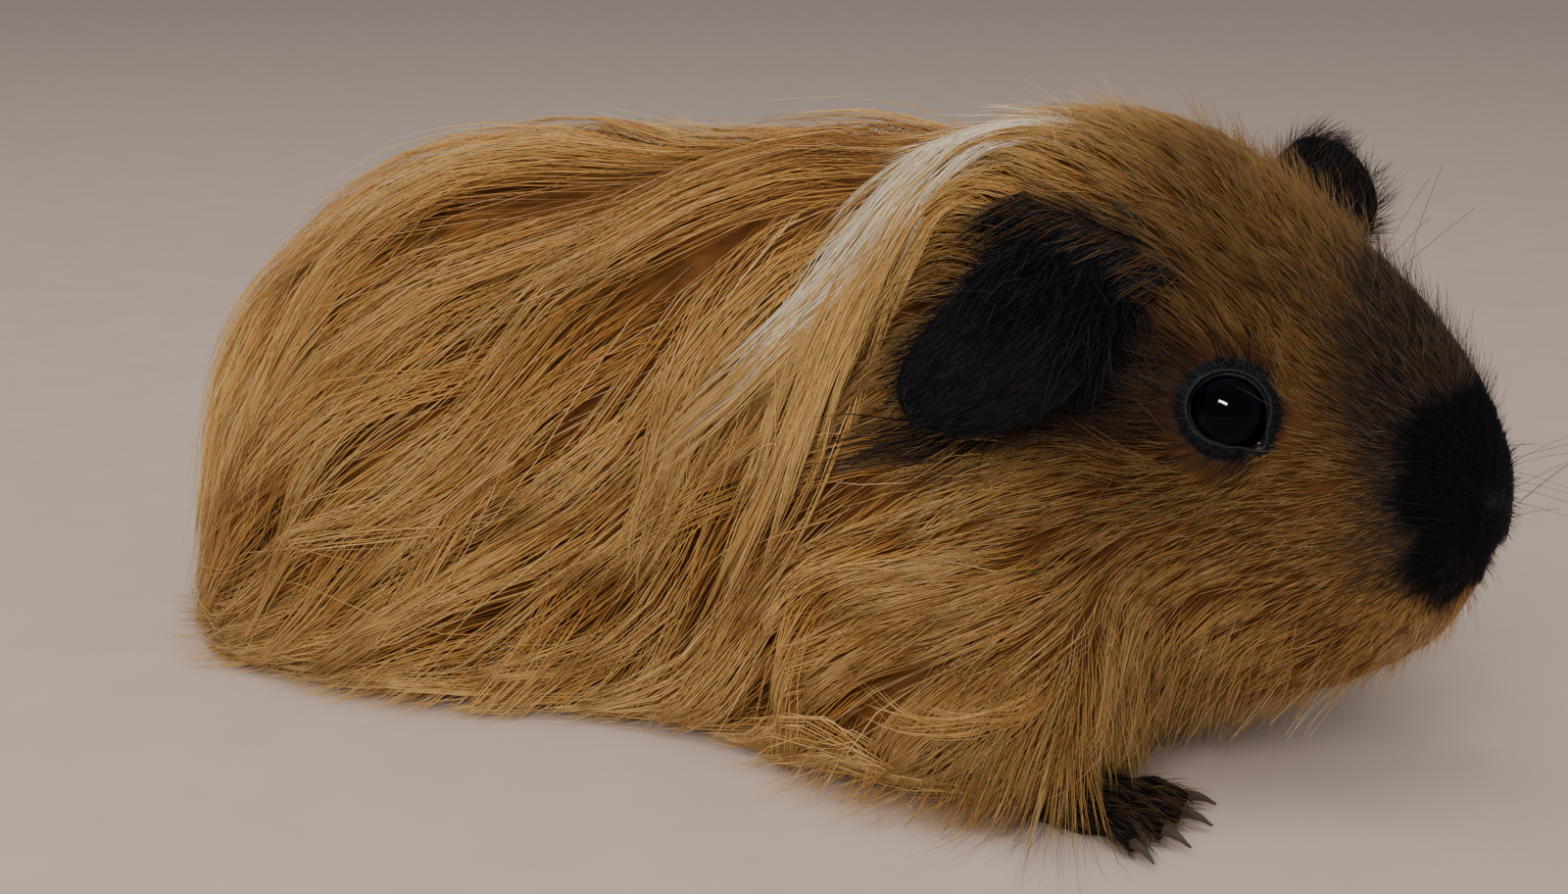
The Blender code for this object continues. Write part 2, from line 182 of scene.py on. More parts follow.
# ---------------------------------------------------------------- meshes

def new_object(name, mesh):
    obj = bpy.data.objects.new(name, mesh)
    bpy.context.scene.collection.objects.link(obj)
    return obj


def new_mesh(name, points, faces):
    """A smooth-shaded mesh from points in millimetres and faces of equal count."""
    faces = np.asarray(faces, np.int32)
    mesh = bpy.data.meshes.new(name)
    mesh.vertices.add(len(points))
    mesh.vertices.foreach_set("co", (np.asarray(points) * MM).astype(np.float32).ravel())
    mesh.loops.add(faces.size)
    mesh.loops.foreach_set("vertex_index", faces.ravel())
    mesh.polygons.add(len(faces))
    mesh.polygons.foreach_set("loop_start", np.arange(len(faces), dtype=np.int32) * faces.shape[1])
    mesh.update(calc_edges=True)
    mesh.shade_smooth()
    return mesh


def points_of(mesh):
    co = np.empty(len(mesh.vertices) * 3, np.float32)
    mesh.vertices.foreach_get("co", co)
    return co.reshape(-1, 3).astype(float) / MM


def triangles_of(mesh):
    mesh.calc_loop_triangles()
    found = np.empty(len(mesh.loop_triangles) * 3, np.int32)
    mesh.loop_triangles.foreach_get("vertices", found)
    return found.reshape(-1, 3)


def normals_of(mesh):
    found = np.empty(len(mesh.vertices) * 3, np.float32)
    mesh.vertex_normals.foreach_get("vector", found)
    return found.reshape(-1, 3).astype(float)


def joined(name, meshes):
    """One mesh from several (points, triangles) shells."""
    points, faces, count = [], [], 0
    for spots, triangles in meshes:
        points.append(spots)
        faces.append(triangles + count)
        count += len(spots)
    return new_mesh(name, np.vstack(points), np.vstack(faces))


def merged_copy(name, nodes, grow):
    """One closed mesh for each node, with its loose triangles merged, a little larger all round."""
    shells = []
    for node in nodes:
        work = bmesh.new()
        work.from_mesh(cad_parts[node].data)
        bmesh.ops.remove_doubles(work, verts=work.verts[:], dist=1e-6)
        bmesh.ops.triangulate(work, faces=work.faces[:])
        work.normal_update()
        work.verts.index_update()
        spots = np.array([v.co + v.normal * grow * MM for v in work.verts]) / MM
        shells.append((spots, np.array([[v.index for v in f.verts] for f in work.faces])))
        work.free()
    return joined(name, shells)


def applied(obj):
    """The object's mesh with its modifiers done, and the object gone."""
    graph = bpy.context.evaluated_depsgraph_get()
    mesh = bpy.data.meshes.new_from_object(obj.evaluated_get(graph))
    bpy.data.objects.remove(obj, do_unlink=True)
    return mesh


def made_even(mesh, voxel, rounds):
    """The outside of overlapping shells as one even mesh, with its facets smoothed away."""
    obj = new_object("work", mesh)
    even = obj.modifiers.new("even", "REMESH")
    even.mode = "VOXEL"
    even.voxel_size = voxel * MM
    soft = obj.modifiers.new("soft", "SMOOTH")
    soft.factor = 0.5
    soft.iterations = rounds
    return applied(obj)


# ---------------------------------------------------------------- the room the coat fills

class Room:
    """Distance from the outline at the coat's tips, above 0 outside and below 0 inside, read by blending."""

    def __init__(self, mesh, cell=2.2, margin=12.0):
        spots = points_of(mesh)
        tree = BVHTree.FromPolygons(spots.tolist(), triangles_of(mesh).tolist())
        self.low = spots.min(axis=0) - margin
        self.cell = cell
        self.count = np.ceil((spots.max(axis=0) + margin - self.low) / cell).astype(int) + 1
        self.grid = np.zeros(self.count)
        for at in np.ndindex(*self.count):
            spot = Vector(self.low + np.array(at) * cell)
            near, normal, _, gap = tree.find_nearest(spot)
            self.grid[at] = math.copysign(gap, (spot - near).dot(normal))
        self.set_slopes()

    def set_slopes(self):
        slopes = [self.softened(slope) for slope in np.gradient(self.grid, self.cell)]
        self.values = np.stack([self.grid, *slopes], axis=-1)

    def axis(self, i):
        return self.low[i] + np.arange(self.count[i]) * self.cell

    def hanging(self, height, until, flare):
        """The same room with its sides let down to the floor below this height, as long hair falls."""
        room = copy.copy(self)
        room.grid = self.grid.copy()
        share = smooth(self.axis(0) - RUMP_X, until + 14, until - 8)[:, None]
        level = round((height - self.low[2]) / self.cell)
        for k in range(level):
            drop = (level - k) * self.cell * flare
            fallen = np.minimum(self.grid[:, :, k], self.grid[:, :, level] - drop)
            room.grid[:, :, k] += share * (fallen - self.grid[:, :, k])
        room.set_slopes()
        return room

    def swollen(self, centre, radii, height):
        """The same room, standing out further round this place."""
        room = copy.copy(self)
        spots = np.stack(np.meshgrid(*(self.axis(i) for i in range(3)), indexing="ij"), axis=-1)
        room.grid = self.grid - height * np.exp(-(((spots - centre) / radii) ** 2).sum(axis=-1))
        room.set_slopes()
        return room

    @staticmethod
    def softened(grid):
        for axis in range(3):
            grid = (np.roll(grid, 1, axis) + 2 * grid + np.roll(grid, -1, axis)) / 4
        return grid

    def read(self, points):
        """Distance and outward direction at each point."""
        spot = np.clip((points - self.low) / self.cell, 0, self.count - 1.001)
        cell = spot.astype(int)
        total = blended(self.values, cell, spot - cell)
        return total[..., 0], unit(total[..., 1:])

    def settle(self, points, level, rounds=2):
        """Moves points straight in or out until they lie at these levels."""
        for _ in range(rounds):
            gap, outward = self.read(points)
            points = points + outward * (level - gap)[..., None]
        return points


# Depth of the skin under the outline, by the distance ahead on the head's axes. It is deeper at the jowl,
# shallower at the floor, and near an eye it comes up and then dips under the eyeball.
DEPTHS = ((-22, 6.5), (-5, 5.6), (8, 4.4), (20, 3.4), (34, 2.5), (46, 1.9), (58, 1.5), (68, 1.1), (76, 0.8),
          (80, 0.6))
JOWL_DEPTH = 1.6
DEPTH_BY_EYE = 0.8
DEPTH_UNDER_EYE = 3.0


def coat_depth(points):
    """How deep the skin lies under the outline, in millimetres."""
    ahead, _, height = np.moveaxis(to_head(points), -1, 0)
    depth = by_table(ahead, DEPTHS)
    depth = depth + JOWL_DEPTH * smooth(ahead, 66, 40) * smooth(height, 36, 18)
    depth = depth * (0.55 + 0.45 * smooth(points[..., 2], 2, 12))
    near = off_eye(points)
    depth = depth + (DEPTH_BY_EYE - depth) * smooth(near, 12, 9)
    return depth + DEPTH_UNDER_EYE * smooth(near, 6.4, 5.2)


# The outline runs along the coat's tips. The chin is drawn in, the long coat's sides hang straighter, and
# the loin stands out a little.
outline = made_even(merged_copy("outline", FLESH + EYES, 0.45), 1.45, 10)
room = Room(outline).swollen(from_head((80.0, 0.0, 27.0)), (12.0, 15.0, 14.0), -2.7)
coat_room = room.hanging(height=19.0, until=138, flare=0.10)
coat_room = coat_room.swollen((RUMP_X + 46, -6.0, 76.0), (24.0, 30.0, 20.0), 3.2)


# ---------------------------------------------------------------- skin

def gap_to_path(points, path):
    """Least distance from each point to a path of straight runs, and how far along it, from 0 to 1."""
    path = np.array(path, float)
    best = np.full(len(points), 1e9)
    along = np.zeros(len(points))
    for i, (start, end) in enumerate(zip(path[:-1], path[1:])):
        run = end - start
        t = np.clip((points - start) @ run / (run @ run), 0, 1)
        gap = np.linalg.norm(points - start - t[:, None] * run, axis=1)
        along = np.where(gap < best, (i + t) / (len(path) - 1), along)
        best = np.minimum(best, gap)
    return best, along


def on_outline(path):
    """A path in the head's axes, moved onto the outline."""
    return to_head(room.settle(from_head(np.array(path, float)), 0.0, 4))


# Creases of the face in the head's axes, on the left side; each is mirrored. Path, half width, depth.
MOUTH = on_outline(((79.0, 0.0, 31.0), (77.4, 5.0, 29.8), (75.6, 9.2, 29.6), (73.6, 12.4, 30.8),
                    (71.4, 14.6, 33.2), (71.0, 15.8, 36.0)))
NOSTRIL = on_outline(((78.6, 5.6, 36.2), (77.4, 7.8, 34.8), (76.4, 9.4, 33.7), (75.6, 10.8, 33.0)))
CREASES = (
    (MOUTH, 0.9, 1.8),
    (on_outline(((80.0, 0.0, 41.0), (80.0, 0.0, 36.5), (79.0, 0.0, 31.4))), 0.7, 1.2),
    (NOSTRIL, 1.5, 3.4),
    (on_outline(((66.5, 14.5, 34.5), (64.0, 15.6, 38.0))), 1.0, 0.7),
)
# Soft swellings of the face. Centre, radius, height.
PADS = (
    ((76.0, 10.5, 38.0), 3.6, 0.8),
    ((79.5, 3.0, 42.0), 3.0, 0.6),
    ((75.0, 0.0, 26.5), 4.0, 0.6),
)


def face_relief(points):
    """How far each point of the face stands out, with the mouth, cleft and nostrils let in."""
    spots = to_head(points)
    spots[:, 1] = np.abs(spots[:, 1])
    lift = np.zeros(len(points))
    for centre, radius, height in PADS:
        lift += height * np.exp(-((np.linalg.norm(spots - centre, axis=1) / radius) ** 2))
    for path, half_width, depth in CREASES:
        gap, along = gap_to_path(spots, path)
        lift -= depth * (1 - 0.35 * along) * np.exp(-((gap / half_width) ** 2))
    return lift


def finer_face(mesh, start=44.0):
    """Splits the faces ahead of this place on the head, so that creases are sharp."""
    work = bmesh.new()
    work.from_mesh(mesh)
    work.verts.ensure_lookup_table()
    ahead = to_head(points_of(mesh))[:, 0] > start
    edges = [e for e in work.edges if ahead[e.verts[0].index] and ahead[e.verts[1].index]]
    bmesh.ops.subdivide_edges(work, edges=edges, cuts=1, use_grid_fill=True)
    bmesh.ops.triangulate(work, faces=work.faces[:])
    work.to_mesh(mesh)
    work.free()
    return mesh


SKIN_FOLDS = 0.35
SKIN_OFF_FLOOR = 0.5
FOOT_FUR = 0.4
SOLE_PADS = 0.25


def body_shell():
    """The body's skin: the outline let in by the depth of the coat, with the face's relief."""
    mesh = finer_face(outline.copy())
    points = points_of(mesh)
    points = room.settle(points, -coat_depth(points), 3)
    outward = room.read(points)[1]
    points += outward * face_relief(points)[:, None]
    folds = SKIN_FOLDS * drift(points, 5.0) * smooth(coat_depth(points), 2.0, 4.0)
    points += outward * folds[:, None]
    points[:, 2] = np.maximum(points[:, 2], SKIN_OFF_FLOOR)
    return points, triangles_of(mesh)


def foot_shell(node):
    """A foot with its facets smoothed, let in by its short fur except at the sole."""
    mesh = made_even(merged_copy(node, [node], 0.1), 0.42, 3)
    points = points_of(mesh)
    points -= normals_of(mesh) * (FOOT_FUR * smooth(points[:, 2], 0.2, 1.2))[:, None]
    pads = smooth(points[:, 2], 1.0, 0.2) * (0.5 + 0.5 * drift(points, 1.6))
    points[:, 2] = np.maximum(points[:, 2], 0.0) + SOLE_PADS * pads
    return points, triangles_of(mesh)


# Ear: a thin cupped petal, hung along the side of the crown. Head's axes, left side.
EAR_ROOT_FRONT = np.array((40.0, 22.0, 71.5))
EAR_ROOT_BACK = np.array((21.0, 26.5, 80.5))
EAR_TIPS = {"ear_left": np.array((33.0, 45.0, 82.0)), "ear_right": np.array((18.0, 43.5, 53.0))}
EAR_HALF_WIDTH = 10.5
EAR_THICK_AT_ROOT = 1.3
EAR_THICK_AT_TIP = 0.55
EAR_RIM_ROUND = 0.6
# What shapes its middle surface: how far it bows out and slips ahead halfway down, its curl, the fold along
# its front, the crease down its middle and the wave of its edges.
EAR_BOW = 5.0
EAR_SLIP = 3.2
EAR_CURL = 0.022
EAR_FOLD = 0.7
EAR_CREASE = 0.5
EAR_WAVE = 0.25
EAR_SIDES = 56
EAR_ROWS = 44


class Petal:
    """One ear. Its middle surface is read by two shares: across, from -1 to 1, and down, from root to tip."""

    def __init__(self, node):
        self.side = 1 if node.endswith("left") else -1
        self.root = (EAR_ROOT_FRONT + EAR_ROOT_BACK) / 2
        self.fall = EAR_TIPS[node] - self.root
        self.across = unit(EAR_ROOT_FRONT - EAR_ROOT_BACK)
        outward = unit(np.cross(self.across, unit(self.fall)))
        self.outward = outward * np.sign(outward[1])

    @staticmethod
    def half_width(down):
        tapered = EAR_HALF_WIDTH * (0.72 + 0.9 * down - 0.62 * down ** 2)
        return tapered * np.sqrt(np.maximum(1 - down ** 5, 0.0004))

    @staticmethod
    def thickness(down):
        return EAR_THICK_AT_ROOT - (EAR_THICK_AT_ROOT - EAR_THICK_AT_TIP) * down

    def middle(self, across, down):
        """Points of the middle surface, in the frame."""
        width = across * self.half_width(down)
        halfway = np.sin(np.pi * np.clip(down, 0, 1))
        bow = EAR_BOW * halfway ** 1.2 - 3.0 * smooth(down, 0.22, 0.0)
        curl = -EAR_CURL * width ** 2 + 0.5 * smooth(np.abs(across), 0.75, 1.0) * smooth(down, 0.3, 0.9)
        fold = EAR_FOLD * np.exp(-((across - 0.45 + 0.2 * down) / 0.13) ** 2) * smooth(down, 0.95, 0.4)
        crease = -EAR_CREASE * np.exp(-((across + 0.1) / 0.2) ** 2) * smooth(down, 0.8, 0.2)
        wave = EAR_WAVE * np.sin(9 * down + 3 * across) * np.abs(across) ** 2
        slip = EAR_SLIP * halfway
        spots = (self.root + down[..., None] * self.fall
                 + (bow + curl + fold + crease + wave)[..., None] * self.outward
                 + (width + slip)[..., None] * self.across)
        return from_head(spots * [1, self.side, 1])

    def outward_at(self, across, down):
        """Outward direction, read a little inside the rim."""
        step = 0.01
        across = across * 0.96
        one = self.middle(across + step, down) - self.middle(across - step, down)
        two = self.middle(across, down + step) - self.middle(across, down - step)
        found = unit(np.cross(one, two))
        facing = from_head((self.outward * [1, self.side, 1])[None]) - from_head(np.zeros((1, 3)))
        return found * np.sign((found * facing[0]).sum(axis=-1))[..., None]

    def shell(self):
        """A closed thin petal, thicker at its root, with a rounded rim."""
        turn = np.linspace(0, 2 * np.pi, EAR_SIDES, endpoint=False)
        rings = []
        for row in range(EAR_ROWS):
            down = np.full(EAR_SIDES, (1 - math.cos(math.pi * (row + 0.3) / (EAR_ROWS - 0.4))) / 2)
            across = np.cos(turn)
            face = np.sign(np.sin(turn)) * np.abs(np.sin(turn)) ** EAR_RIM_ROUND
            off = (face * self.thickness(down) / 2)[:, None]
            rings.append(self.middle(across, down) + self.outward_at(across, down) * off)
        points, triangles = closed_rings(rings)
        return points, triangles[:, ::-1] if self.side > 0 else triangles


def stitched(rows, sides, steps):
    """Triangles from each row of points to the next, for this many steps; the last row may meet the first."""
    j = np.arange(sides)
    k = (j + 1) % sides
    faces = []
    for i in range(steps):
        a, b = i * sides, (i + 1) % rows * sides
        faces += [np.stack([a + j, a + k, b + k], 1), np.stack([a + j, b + k, b + j], 1)]
    return faces


def closed_rings(rings):
    """Points and triangles of a closed body through rings of equal count."""
    rows, sides = len(rings), len(rings[0])
    points = np.vstack(rings + [rings[0].mean(axis=0)[None], rings[-1].mean(axis=0)[None]])
    first, last, end = len(points) - 2, len(points) - 1, (rows - 1) * sides
    j = np.arange(sides)
    k = (j + 1) % sides
    caps = [np.stack([np.full(sides, first), k, j], 1), np.stack([np.full(sides, last), end + j, end + k], 1)]
    return points, np.vstack(stitched(rows, sides, rows - 1) + caps)


def volume(points, triangles):
    a, b, c = (points[triangles[:, i]] for i in range(3))
    return (np.cross(a, b) * c).sum() / 6


def facing_out(shell):
    points, triangles = shell
    return points, triangles if volume(points, triangles) > 0 else triangles[:, ::-1]


# ---------------------------------------------------------------- how the coat lies

NOSE_TIP = from_head((80.0, 0.0, 44.0))
# Slant of the coat on the sides, in degrees down from straight back, by the distance ahead of the rump.
SLANT = ((0, 88), (42, 78), (50, 64), (58, 42), (70, 34), (85, 37), (95, 43), (108, 49), (118, 50), (128, 48),
         (136, 54), (142, 68), (150, 73), (164, 60), (190, 45))
RUMP_LIFT = 50      # degrees that the coat low on the rump lies flatter
SLANT_DRIFT = 8     # degrees that it wanders


def turned(ways, outward, angle):
    """Directions along the surface, turned about the outward direction."""
    return ways * np.cos(angle)[..., None] + np.cross(outward, ways) * np.sin(angle)[..., None]


def along_surface(ways, outward):
    return unit(ways - (ways * outward).sum(axis=-1)[..., None] * outward)


def trunk_lie(points, outward):
    """From the middle of the back the coat runs back, then falls down the sides; low down it trails back."""
    ahead = from_rump(points)
    height = points[..., 2]
    off_middle = np.abs(points[..., 1])
    rump = smooth(ahead, 54, 40)
    end = smooth(ahead, 34, 6)
    slant = by_table(ahead, SLANT) - RUMP_LIFT * rump * smooth(height, 42, 22) * (1 - end)
    slant = slant * (0.5 + 0.5 * smooth(height, 3, 22)) * (0.42 + 0.58 * smooth(off_middle, 2, 24))
    elbow = smooth(ahead, 130, 142) * smooth(height, 46, 34) * smooth(off_middle, 20, 30)
    slant = slant + (34 + 26 * smooth(height, 26, 10) - slant) * elbow
    slant = np.radians(slant + SLANT_DRIFT * drift(points, 23.0))
    none = np.zeros(len(points))
    back = along_surface(np.stack([none - 1, none, -0.9 * end], axis=-1), outward)
    aside = np.sign(points[..., 1]) * (0.9 - 0.6 * end)
    down = along_surface(np.stack([none, aside, none - 1], axis=-1), outward)
    return unit(back * np.cos(slant)[..., None] + down * np.sin(slant)[..., None])


def head_lie(points, outward):
    """On the head the coat runs back from the nose, round the eyes, and sags at the jowls and throat."""
    ahead, _, height = np.moveaxis(to_head(points), -1, 0)
    ways = unit(points - NOSE_TIP)
    jowl_sag = 1.15 * smooth(height, 46, 24) * smooth(ahead, 66, 44)
    nape_sag = 0.35 * smooth(height, 64, 44) * smooth(ahead, 40, 12)
    ways = ways - (0.12 + jowl_sag + nape_sag)[..., None] * UP
    round_eye = (0.95 * np.exp(-((off_eye(points) / 9.0) ** 2)))[..., None]
    for centre, out, _, _ in EYE_AXES.values():
        off = points - centre
        off = off - (off @ out)[..., None] * out
        ways = ways + unit(off) * round_eye
    ways = along_surface(ways, outward)
    return along_surface(turned(ways, outward, 0.16 * drift(points, 14.0, 3.3)), outward)


def lie(points, outward):
    spots = to_head(points)
    shift = 9 * smooth(spots[..., 2], 50, 60) - 9 * smooth(spots[..., 2], 54, 44)
    share = smooth(spots[..., 0], -3 + shift, 13 + shift)
    arm = smooth(np.abs(spots[..., 1]), 35, 43) * smooth(spots[..., 2], 46, 38)
    share = (share * (1 - arm))[..., None]
    ways = head_lie(points, outward) * share + trunk_lie(points, outward) * (1 - share)
    return along_surface(ways, outward)


# Length of the coat by the distance ahead on the head's axes, and the width and overlap of its tufts by that
# length.
COAT_LENGTHS = ((-40, 56), (-8, 52), (2, 44), (12, 24), (22, 15), (32, 11), (42, 9), (52, 7), (62, 5.2),
                (70, 3.6), (76, 2.6), (81, 1.8))
TUFT_WIDTHS = ((1.5, 0.10), (4, 0.11), (8, 0.125), (16, 0.147), (30, 0.173), (50, 0.190))
TUFT_LAYERS = ((1.5, 2.1), (4, 2.45), (8, 2.85), (16, 3.35), (30, 3.8), (50, 3.95))


def coat_length(points):
    """Length of the coat at its roots, in millimetres."""
    ahead, _, height = np.moveaxis(to_head(points), -1, 0)
    length = by_table(ahead, COAT_LENGTHS)
    jowl = smooth(ahead, 68, 44) * smooth(height, 42, 22)
    length = length + (24 - 10 * smooth(ahead, 50, 62)) * jowl * smooth(length, 40, 20)
    mane = smooth(ahead, 8, -4) * smooth(height, 60, 74)
    length = length + 10 * mane
    length = length * (1 + 0.7 * smooth(height, 32, 26) * smooth(ahead, 50, 62))
    under = smooth(points[..., 2], 7, 3)
    length = length * (1 - 0.6 * under)
    rump = smooth(from_rump(points), 46, 14)
    length = length * (1 - 0.3 * rump)
    over_floor = np.minimum(length, 5 + 1.2 * points[..., 2])
    return length + (over_floor - length) * smooth(from_rump(points), 32, 14)


def bare(points):
    """0 where no coat grows: the lids, the lips' edge, and under the middle of the body."""
    cover = np.ones(len(points))
    cover *= smooth(off_eye(points), 5.7, 6.3)
    spots = to_head(points)
    spots[:, 1] = np.abs(spots[:, 1])
    for path, half_width, _ in CREASES[:3]:
        cover *= smooth(gap_to_path(spots, path)[0], 0.6 * half_width, 1.2 * half_width)
    belly = smooth(points[:, 2], 4.6, 3.2) * smooth(np.abs(points[:, 1]), 42, 30)
    return cover * (1 - 0.85 * belly)


def roots_on(points, triangles, density, rng):
    """Random places on a surface, so many to the square millimetre, as given at the triangles' middles."""
    a, b, c = (points[triangles[:, i]] for i in range(3))
    area = np.linalg.norm(np.cross(b - a, c - a), axis=1) / 2
    count = rng.poisson(area * density((a + b + c) / 3))
    pick = np.repeat(np.arange(len(triangles)), count)
    u, v = rng.random((2, len(pick)))
    fold = u + v > 1
    u, v = np.where(fold, 1 - u, u), np.where(fold, 1 - v, v)
    return a[pick] + u[:, None] * (b - a)[pick] + v[:, None] * (c - a)[pick]


SWAY_TURNS = 4.4    # radians of sway along a tuft
PAST_RUMP = 4       # how far behind the rump the tips run before they bunch up


def grow(roots, length, turn, top, joints, wave, phase, lean=0.0):
    """Paths of tufts from their roots: they climb from the skin to the outline, following how the coat lies.

    top is the level their tips reach, lean what the tips stand out beyond it, wave and phase the sway from
    side to side, joints the points kept.
    """
    fine = 2 if joints > 3 else 1
    steps = (joints - 1) * fine
    step = (length / steps)[:, None]
    rise = np.clip(length * 0.2, 1.0, 9.0)
    spot, heading = roots, None
    base = coat_room.read(roots)[0]
    paths = [roots]
    for k in range(1, steps + 1):
        share = k / steps
        outward = coat_room.read(spot)[1]
        sway = turn + wave * np.sin(phase + share * SWAY_TURNS)
        ways = turned(lie(spot, outward), outward, sway)
        heading = ways if heading is None else along_surface(unit(0.62 * heading + 0.38 * ways), outward)
        onward = heading.copy()
        # Near the floor a tuft goes on level, and slower, instead of through it.
        near_floor = smooth(spot[:, 2], 5.5, 1.5)
        onward[:, 2] *= 1 - near_floor * (onward[:, 2] < 0)
        spot = spot + unit(onward) * step * (1 - 0.8 * near_floor)[:, None]
        past_rump = np.minimum(spot[:, 0] - RUMP_X + PAST_RUMP, 0)
        spot[:, 0] = np.maximum(spot[:, 0], RUMP_X - PAST_RUMP + 0.4 * past_rump)
        climb = 0.6 * (1 - np.exp(-length * share / rise)) + 0.4 * share
        level = base * (1 - climb) + (top + lean * share ** 2) * climb
        settled = coat_room.settle(spot, level, 1)
        free = near_floor[:, None] * 0.85
        spot = settled * (1 - free) + spot * free
        spot[:, 2] = np.maximum(spot[:, 2], TIP_OFF_FLOOR + 0.5 * np.sin(phase * 7) ** 2)
        if k % fine == 0:
            paths.append(spot)
    return np.stack(paths, axis=1)


def nearest(points, others, at_once=4000):
    """Index of, and distance to, the nearest of the others."""
    index = np.empty(len(points), int)
    gap = np.empty(len(points))
    square = (others ** 2).sum(axis=1)
    for start in range(0, len(points), at_once):
        these = slice(start, start + at_once)
        part = points[these]
        apart = (part ** 2).sum(axis=1)[:, None] + square - 2 * part @ others.T
        index[these] = apart.argmin(axis=1)
        gap[these] = np.sqrt(np.maximum(apart.min(axis=1), 0))
    return index, gap


TUFT_FLATNESS = 0.75


def strand_shells(paths, width):
    """Closed three-sided tapered tufts along paths.

    Gives points, triangles, each point's share of the way to the tip and place round the tuft, and the points
    in one tuft.
    """
    count, joints, _ = paths.shape
    onward = unit(np.gradient(paths, axis=1))
    outward = coat_room.read(paths.reshape(-1, 3))[1]
    aside = unit(np.cross(onward, outward.reshape(paths.shape)))
    above = np.cross(aside, onward)
    share = np.linspace(0, 1, joints)[:-1]
    taper = np.minimum(0.62 + 2.2 * share, 1.0) * (1 - share ** 2.4) ** 0.8
    half = width[:, None] * taper / 2
    corners = []
    for side, lift in ((-1, -0.4), (1, -0.4), (0, 0.8)):
        corners.append(paths[:, :-1] + aside[:, :-1] * (half * side)[..., None]
                       + above[:, :-1] * (half * lift * TUFT_FLATNESS)[..., None])
    rings = np.stack(corners, axis=2).reshape(count, -1, 3)
    points = np.concatenate([rings, paths[:, -1:]], axis=1)
    last = 3 * (joints - 1)
    one = [(0, 1, 2)]
    for row in range(joints - 2):
        a, b = 3 * row, 3 * row + 3
        for i in range(3):
            j = (i + 1) % 3
            one += [(a + i, b + j, a + j), (a + i, b + i, b + j)]
    a = last - 3
    one += [(a + i, last, a + (i + 1) % 3) for i in range(3)]
    one = np.array(one)
    size = points.shape[1]
    triangles = (one[None] + np.arange(count)[:, None, None] * size).reshape(-1, 3)
    along = np.tile(np.append(np.repeat(share, 3), 1.0), (count, 1))
    corner = np.tile(np.append(np.tile([0.0, 0.5, 1.0], joints - 1), 0.5), (count, 1))
    return points.reshape(-1, 3), triangles, along.ravel(), corner.ravel(), size


# ---------------------------------------------------------------- markings

# The white streak: it starts on the nape and runs down the right side. Distance ahead of the rump, y and z,
# its half width, and how much of the coat there is white.
STREAK = ((164.5, -9.0, 90.5, 4.6, 0.6), (158.0, -12.0, 89.5, 5.6, 0.6), (152.0, -17.0, 87.5, 4.4, 0.45),
          (148.0, -24.0, 83.0, 2.2, 0.25), (145.0, -32.0, 76.0, 1.6, 0.12), (143.0, -39.0, 69.0, 1.2, 0.05))


# The nose is black ahead of one edge and smoky ahead of the other: height, distance ahead on the head's axes.
NOSE_BLACK = ((30, 76.5), (33.6, 74.8), (41.6, 72.4), (50, 70.6), (54, 71.0), (58, 73.5), (62, 78.0),
              (66, 82.0))
NOSE_SMOKE = ((30, 71.5), (35, 69.6), (41.5, 68.0), (47.5, 66.8), (53.5, 65.2), (59, 63.6), (65, 61.6),
              (70, 58.8))
# Dark patches round the ears and by the mouth, on the head's axes, left side: middle, reach, share,
# raggedness. Those under and in front of the hanging ear are partly dark hair and partly painted shadow of
# the ear.
BLACK_PATCHES_AND_EAR_SHADOW = (
    ((34, 25, 71), (10.5, 10, 10.5), 1.0, 0.6),
    ((23, 41, 52), (10, 8, 5), 0.92, 0.9),
    ((30, 33, 61), (10, 9, 9), 0.85, 0.8),
    ((36, 31, 56), (11, 8, 6), 0.5, 0.6),
    ((38.5, 28, 61), (6.8, 7, 8), 1.0, 0.8),
    ((71.5, 16, 37), (3.5, 4, 4), 0.3, 0.8),
)
# Reddish brown between eye and ear and behind the ear: middle, reach, share. It is partly the coat's own
# colour and partly painted shade under and beside the hanging ear.
SABLE_AND_EAR_SHADE_PATCHES = (
    ((43, 24, 60), (9.5, 9, 11), 1.0),
    ((36, 31, 54), (10, 9, 8), 0.8),
    ((20, 32, 66), (13, 12, 16), 0.6),
)
# The nostril's rim is painted less black: a painted highlight where it catches the light.
NOSTRIL_RIM_HIGHLIGHT = 0.14   # how much less black it is


def blob(spots, centre, radii):
    """1 at the centre, 0 beyond these radii, with a soft edge."""
    return np.exp(-((((spots - centre) / radii) ** 2).sum(axis=-1)) ** 2)


def patches(spots, table):
    """The sum of soft patches, from rows of centre, radii and share."""
    return sum(share * blob(spots, centre, radii) for centre, radii, share in table)


def nose_black(spots, ragged):
    """The nose is black to behind the nostrils, with a smoky edge; the lower lip and chin stay pale."""
    ahead, _, height = spots.T
    smoke, edge = by_table(height, NOSE_SMOKE), by_table(height, NOSE_BLACK)
    smut = (0.56 - 0.20 * smooth(height, 56, 42)) * smooth(ahead + ragged, smoke - 4.0, smoke + 4.0)
    smut = smut * smooth(height, 30, 38)
    black = np.maximum(smut, smooth(ahead + 1.2 * ragged, edge - 2.2, edge + 2.2))
    black = black * smooth(height + 0.4 * ragged, 29.0, 31.0)
    nostril = gap_to_path(spots, NOSTRIL)[0]
    # Painted highlight: the black is lessened on the nostril's rim.
    return black * (1 - NOSTRIL_RIM_HIGHLIGHT * smooth(nostril, 1.4, 2.2) * smooth(nostril, 3.6, 2.6))


def streak_white(points, ragged):
    """How white the streak makes the coat, before its side is chosen."""
    gap, along = gap_to_path(points, [(x + RUMP_X, y, z) for x, y, z, _, _ in STREAK])
    steps = np.linspace(0, 1, len(STREAK))
    half, share = (np.interp(along, steps, column) for column in list(zip(*STREAK))[3:])
    return share * smooth(gap + 0.6 * ragged, half * 1.25, half * 0.55)


